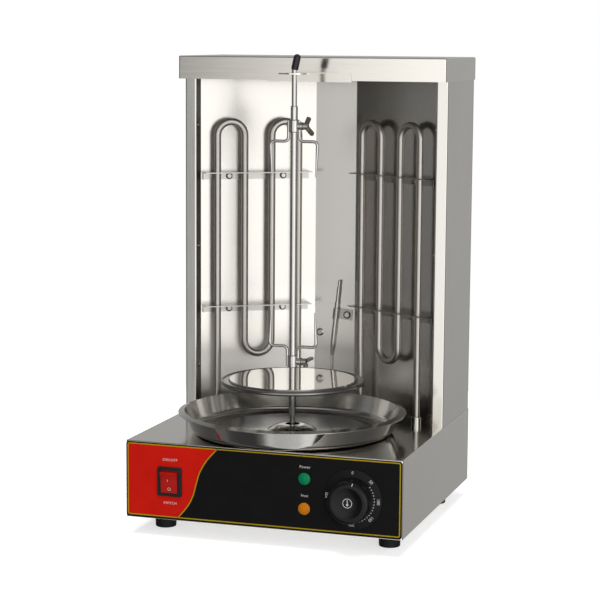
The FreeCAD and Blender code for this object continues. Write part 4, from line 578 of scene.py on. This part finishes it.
dial = {
    "x": 94.5,
    "z": panel["low"] + 37.0,
    "front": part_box("dial_ring")[0].y / milli,
    "bevelInner": 22.6,
    "bevelOuter": 30.0,
    "bevelRise": 1.4,
    "numbers": [("0", 89.5, 26.6), ("50", 44.8, 26.6), ("100", -0.5, 26.6), ("150", -43, 26.3),
                ("200", -90.5, 25.2), ("300", 175, 26)],  # number, angle, radius
    "numberHeight": 2.9,
    "numberInk": 0.1,
    "numberShift": -0.02,
    "dots": 15,
    "dotFirst": 37.3,
    "dotStep": -7.6,
    "dotArc": 22.7,
    "dotRadius": 0.6,
    "dotHigh": 0.5,
    "dotProud": 0.1,
    "dotSides": 12,
}


def dialHeight(radius):
    # Front of the bevelled dial ring at a radius.
    share = (radius - dial["bevelInner"]) / (dial["bevelOuter"] - dial["bevelInner"])
    return dial["front"] + dial["bevelRise"] * max(0.0, share)


def makeDialNumbers():
    texts = []
    for number, angle, radius in dial["numbers"]:
        x = dial["x"] + radius * math.cos(math.radians(angle))
        z = dial["z"] + radius * math.sin(math.radians(angle))
        spot = (x, dialHeight(radius) + dial["numberShift"], z)
        texts.append((number, spot, dial["numberHeight"], angle - 90, 1.0))
    lean = math.degrees(math.atan2(dial["bevelRise"], dial["bevelOuter"] - dial["bevelInner"]))
    lettering("dialNumbers", texts, dial["numberInk"], lean)


def makeDotTree():
    # Short round pins along an arc in the XZ plane.
    tree = bpy.data.node_groups.new("dotsOnArc", "GeometryNodeTree")
    inputs = {}
    for label, kind in (("Count", "Int"), ("Arc Radius", "Float"), ("First Angle", "Float"),
                        ("Angle Step", "Float"), ("Dot Radius", "Float"), ("Dot Height", "Float"),
                        ("Centre", "Vector"), ("Finish", "Material")):
        socket = tree.interface.new_socket(name=label, in_out="INPUT", socket_type="NodeSocket" + kind)
        inputs[label] = socket.identifier
    tree.interface.new_socket(name="Geometry", in_out="OUTPUT", socket_type="NodeSocketGeometry")
    source = tree.nodes.new("NodeGroupInput").outputs
    result = tree.nodes.new("NodeGroupOutput")
    points = addNode(tree, "GeometryNodePoints")
    tree.links.new(source["Count"], points.inputs["Count"])
    index = addNode(tree, "GeometryNodeInputIndex")
    turn = mathNode(tree, "MULTIPLY", index.outputs[0], source["Angle Step"])
    turn = mathNode(tree, "ADD", turn, source["First Angle"])
    spot = addNode(tree, "ShaderNodeCombineXYZ")
    for axis, wave in (("X", "COSINE"), ("Z", "SINE")):
        reach = mathNode(tree, "MULTIPLY", mathNode(tree, wave, turn), source["Arc Radius"])
        tree.links.new(reach, spot.inputs[axis])
    tree.links.new(vectorNode(tree, "ADD", spot.outputs[0], source["Centre"]), points.inputs["Position"])
    pin = addNode(tree, "GeometryNodeMeshCylinder")
    pin.inputs["Vertices"].default_value = dial["dotSides"]
    tree.links.new(source["Dot Radius"], pin.inputs["Radius"])
    tree.links.new(source["Dot Height"], pin.inputs["Depth"])
    upright = addNode(tree, "GeometryNodeTransform")
    upright.inputs["Rotation"].default_value = (math.radians(90), 0, 0)
    spread = addNode(tree, "GeometryNodeInstanceOnPoints")
    real = addNode(tree, "GeometryNodeRealizeInstances")
    finish = addNode(tree, "GeometryNodeSetMaterial")
    for output, socket in (
            (pin.outputs["Mesh"], upright.inputs["Geometry"]), (points.outputs[0], spread.inputs["Points"]),
            (upright.outputs["Geometry"], spread.inputs["Instance"]),
            (spread.outputs["Instances"], real.inputs["Geometry"]),
            (real.outputs["Geometry"], finish.inputs["Geometry"]),
            (source["Finish"], finish.inputs["Material"]),
            (finish.outputs["Geometry"], result.inputs["Geometry"])):
        tree.links.new(output, socket)
    return tree, inputs


def makeDialDots():
    tree, inputs = makeDotTree()
    centre = (dial["x"], dialHeight(dial["dotArc"]) + dial["dotHigh"] / 2 - dial["dotProud"], dial["z"])
    values = {
        "Count": dial["dots"],
        "Arc Radius": dial["dotArc"] * milli,
        "First Angle": math.radians(dial["dotFirst"]),
        "Angle Step": math.radians(dial["dotStep"]),
        "Dot Radius": dial["dotRadius"] * milli,
        "Dot Height": dial["dotHigh"] * milli,
        "Centre": tuple(side * milli for side in centre),
        "Finish": finishes["whiteInk"],
    }
    holder = bpy.data.objects.new("dotHolder", bpy.data.meshes.new("dotHolder"))
    scene.collection.objects.link(holder)
    modifier = holder.modifiers.new("dots", "NODES")
    modifier.node_group = tree
    for label, value in values.items():
        modifier[inputs[label]] = value
    bpy.context.view_layer.update()
    mesh = bpy.data.meshes.new_from_object(holder.evaluated_get(bpy.context.evaluated_depsgraph_get()))
    holder.modifiers.remove(modifier)
    bpy.data.objects.remove(holder)
    mesh.name = "dialDots"
    addPiece("dialDots", mesh, "housing")


makeDialNumbers()
makeDialDots()

knob = {
    "front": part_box("knob")[0].y / milli + 1.6,  # middle of the cap, sunk behind its rim
    "rimFront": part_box("knob")[0].y / milli,
    "ink": 0.04,
    "ringRadius": 4.5,
    "ringWidth": 0.65,
    "ringSides": 48,
    "bulbRadius": 1.2,
    "bulbSides": 16,
    "stemWidth": 0.9,
    "stemHigh": 3.1,
    "stemLow": -1.5,
    "stemStart": 1.0,  # above the middle of the bulb
    "tickAngle": 75,
    "tickRadius": 17.5,
    "tickRound": 4.5,
    "tickArc": (8, 46),
    "tickSteps": 6,
    "tickWidth": 0.7,
    "tickProud": 0.03,
    "tickSunk": 0.3,
}


def makeKnobEmblem():
    # A plain thermometer in a ring.
    x, z = dial["x"], dial["z"]
    bulbZ, half = z + knob["stemLow"], knob["stemWidth"] / 2
    bulb = circle(x, bulbZ, knob["bulbRadius"], knob["bulbSides"])
    stem = rectangle(x - half, bulbZ + knob["stemStart"], x + half, z + knob["stemHigh"])
    ring = circle(x, z, knob["ringRadius"], knob["ringSides"])
    inkSlab("knobEmblem", [bulb, stem], [(ring, knob["ringWidth"], True)], knob["front"], knob["ink"],
            "whiteInk", "dial")


def makeKnobTick():
    # A short bar that follows the rounded edge of the knob.
    points, faces, steps = [], [], knob["tickSteps"]
    half, proud, sunk = knob["tickWidth"] / 2, knob["tickProud"], -knob["tickSunk"]
    first, last = knob["tickArc"]
    for k in range(steps + 1):
        angle = math.radians(first + (last - first) * k / steps)
        for side, over in ((-half, proud), (half, proud), (half, sunk), (-half, sunk)):
            reach = knob["tickRound"] + over
            points.append((side, knob["rimFront"] + knob["tickRound"] - reach * math.cos(angle),
                           knob["tickRadius"] + reach * math.sin(angle)))
    for k in range(steps):
        faces += quads(4 * k, 4 * k + 4, 4)
    faces += [[end + side for side in range(4)] for end in (0, 4 * steps)]
    turn = Matrix.Rotation(math.radians(90 - knob["tickAngle"]), 4, "Y")
    move = Matrix.Translation((dial["x"], 0, dial["z"])) @ turn
    closedMesh("knobTick", points, faces, "whiteInk", "dial", move)


makeKnobEmblem()
makeKnobTick()

rocker = {
    "pivot": (-97.1, -141.5, 58.5),
    "tip": 11.0,
    "faceFoot": (-4.6, -10.4),  # lower end of the face from the pivot, in y and z
    "faceLean": -7.43,
    "ink": 0.05,
    "inkShift": -0.02,
    "stroke": 0.45,
    "offShift": 0.1,
    "offHigh": 4.0,
    "offRadius": 1.45,
    "offSides": 24,
    "onShift": -1.3,
    "onHigh": 12.8,
    "onLength": 2.2,
}


def makeRockerMarks():
    # O and I on the lower face of the rocker.
    foot = Vector((0, *rocker["faceFoot"]))
    move = (Matrix.Translation(rocker["pivot"]) @ Matrix.Rotation(math.radians(rocker["tip"]), 4, "X")
            @ Matrix.Translation(foot) @ Matrix.Rotation(math.radians(rocker["faceLean"]), 4, "X"))
    ring = circle(rocker["offShift"], rocker["offHigh"], rocker["offRadius"], rocker["offSides"])
    half, long = rocker["stroke"] / 2, rocker["onLength"] / 2
    x, z = rocker["onShift"], rocker["onHigh"]
    bar = rectangle(x - half, z - long, x + half, z + long)
    inkSlab("rockerMarks", [bar], [(ring, rocker["stroke"], True)], rocker["inkShift"], rocker["ink"],
            "whiteInk", "rocker", move)


makeRockerMarks()
print("stage: print")

# Floor, surroundings and light, in metres.
paper = {
    "radius": 0.75,
    "sides": 64,
    "dark": 0.7,
    "light": 0.73,
    "cloudScale": 3,
    "roughness": 0.9,
    "glow": 0.6,  # seen by the camera only
}


def makeFloor():
    mesh = bpy.data.meshes.new("floor")
    rim = circle(0, 0, paper["radius"], paper["sides"])
    mesh.from_pydata([(*spot, 0) for spot in rim], [], [list(range(paper["sides"]))])
    floor = bpy.data.objects.new("floor", mesh)
    scene.collection.objects.link(floor)
    material, tree, shader, spot = newMaterial("floorPaper")
    noise = addNode(tree, "ShaderNodeTexNoise")
    noise.inputs["Scale"].default_value = paper["cloudScale"]
    tree.links.new(spot, noise.inputs["Vector"])
    path = addNode(tree, "ShaderNodeLightPath")
    tone = mixNode(tree, noise.outputs["Fac"], (*grey(paper["dark"]), 1), (*grey(paper["light"]), 1))
    tree.links.new(tone, shader.inputs["Base Color"])
    shader.inputs["Roughness"].default_value = paper["roughness"]
    shader.inputs["Specular IOR Level"].default_value = 0.0
    shader.inputs["Emission Color"].default_value = (*grey(1), 1)
    lift = mathNode(tree, "MULTIPLY", path.outputs["Is Camera Ray"], paper["glow"])
    tree.links.new(lift, shader.inputs["Emission Strength"])
    # Metal shows the room in place of the paper.
    clear = addNode(tree, "ShaderNodeBsdfTransparent")
    either = addNode(tree, "ShaderNodeMixShader")
    tree.links.new(path.outputs["Is Glossy Ray"], either.inputs["Fac"])
    tree.links.new(shader.outputs["BSDF"], either.inputs[1])
    tree.links.new(clear.outputs["BSDF"], either.inputs[2])
    tree.links.new(either.outputs["Shader"], tree.nodes["Material Output"].inputs["Surface"])
    mesh.materials.append(material)


# Heights here are the upward part of a direction, from -1 to 1.
room = {
    # Brightness by direction, in degrees from the front and positive to the right.
    "levels": [
        (-180, 0.46), (-160, 0.46), (-120, 0.25), (-95, 0.15), (-86, 0.28), (-74, 0.28), (-66, 0.14),
        (-58, 0.12), (-32, 0.1), (-27, 0.25), (-22.5, 0.34), (-21, 0.46), (-20, 0.76), (-18.5, 0.96),
        (-17.4, 0.98), (-16.4, 1.15), (-15, 1.42), (-13.7, 1.55), (-11, 1.5), (-6, 1.28), (0, 1.25),
        (28, 1.5), (36, 2.15), (55, 2.15), (61, 1.3), (68, 0.7), (80, 0.5), (92, 0.3), (120, 0.2),
        (150, 0.4), (162, 0.45), (180, 0.46),
    ],
    "lowBand": (-0.7, -0.1),  # below it half of the light is left
    "lowShare": 0.5,
    "highBand": (0.22, 0.55),  # above it the bands fade into a dim ceiling
    "highLevel": 0.1,
    "highShare": 0.3,
    "topBand": (0.75, 0.95),
    "topLevel": 0.4,
}


def makeWorld():
    world = bpy.data.worlds.new("studio")
    scene.world = world
    world.use_nodes = True
    tree = world.node_tree
    parts = splitNode(tree, addNode(tree, "ShaderNodeTexCoord").outputs["Generated"])
    front = mathNode(tree, "MULTIPLY", parts["Y"], -1)
    turn = mathNode(tree, "DIVIDE", mathNode(tree, "ARCTAN2", parts["X"], front), 2 * math.pi)
    ramp = addNode(tree, "ShaderNodeValToRGB")
    tree.links.new(mathNode(tree, "ADD", turn, 0.5), ramp.inputs["Fac"])
    stops = ramp.color_ramp.elements
    levels = [(angle / 360 + 0.5, (*grey(level), 1)) for angle, level in room["levels"]]
    for stop, (position, colour) in zip(stops, (levels[0], levels[-1])):
        stop.position, stop.color = position, colour
    for position, colour in levels[1:-1]:
        stops.new(position).color = colour
    bands = ramp.outputs["Color"]
    low = rangeNode(tree, parts["Z"], *room["lowBand"], room["lowShare"], 1)
    around = mixNode(tree, low, (*grey(0), 1), bands)
    ceiling = mixNode(tree, room["highShare"], (*grey(room["highLevel"]), 1), bands)
    sky = mixNode(tree, rangeNode(tree, parts["Z"], *room["highBand"], 0, 1), around, ceiling)
    top = rangeNode(tree, parts["Z"], *room["topBand"], 0, 1)
    sky = mixNode(tree, top, sky, (*grey(room["topLevel"]), 1))
    path = addNode(tree, "ShaderNodeLightPath")
    seen = mixNode(tree, path.outputs["Is Camera Ray"], sky, (*grey(1), 1))
    tree.links.new(seen, tree.nodes["Background"].inputs["Color"])


lamps = {
    "topLight": {"place": (0.1, -0.5, 2.4), "target": (0, 0, 0.2), "size": (1.6, 1.6), "power": 50},
    "rightLight": {"place": (1.9, -1.7, 1.2), "target": (0, 0, 0.25), "size": (1.4, 1.6), "power": 24},
}


def softLight(name, place, target, size, power):
    data = bpy.data.lights.new(name, "AREA")
    data.shape = "RECTANGLE"
    data.size, data.size_y = size
    data.energy = power
    lamp = bpy.data.objects.new(name, data)
    scene.collection.objects.link(lamp)
    away = Vector(place) - Vector(target)
    lamp.visible_glossy = False
    lamp.matrix_world = Matrix.Translation(place) @ away.to_track_quat("Z", "Y").to_matrix().to_4x4()


makeFloor()
makeWorld()
for name, lamp in lamps.items():
    softLight(name, **lamp)
print("stage: light")
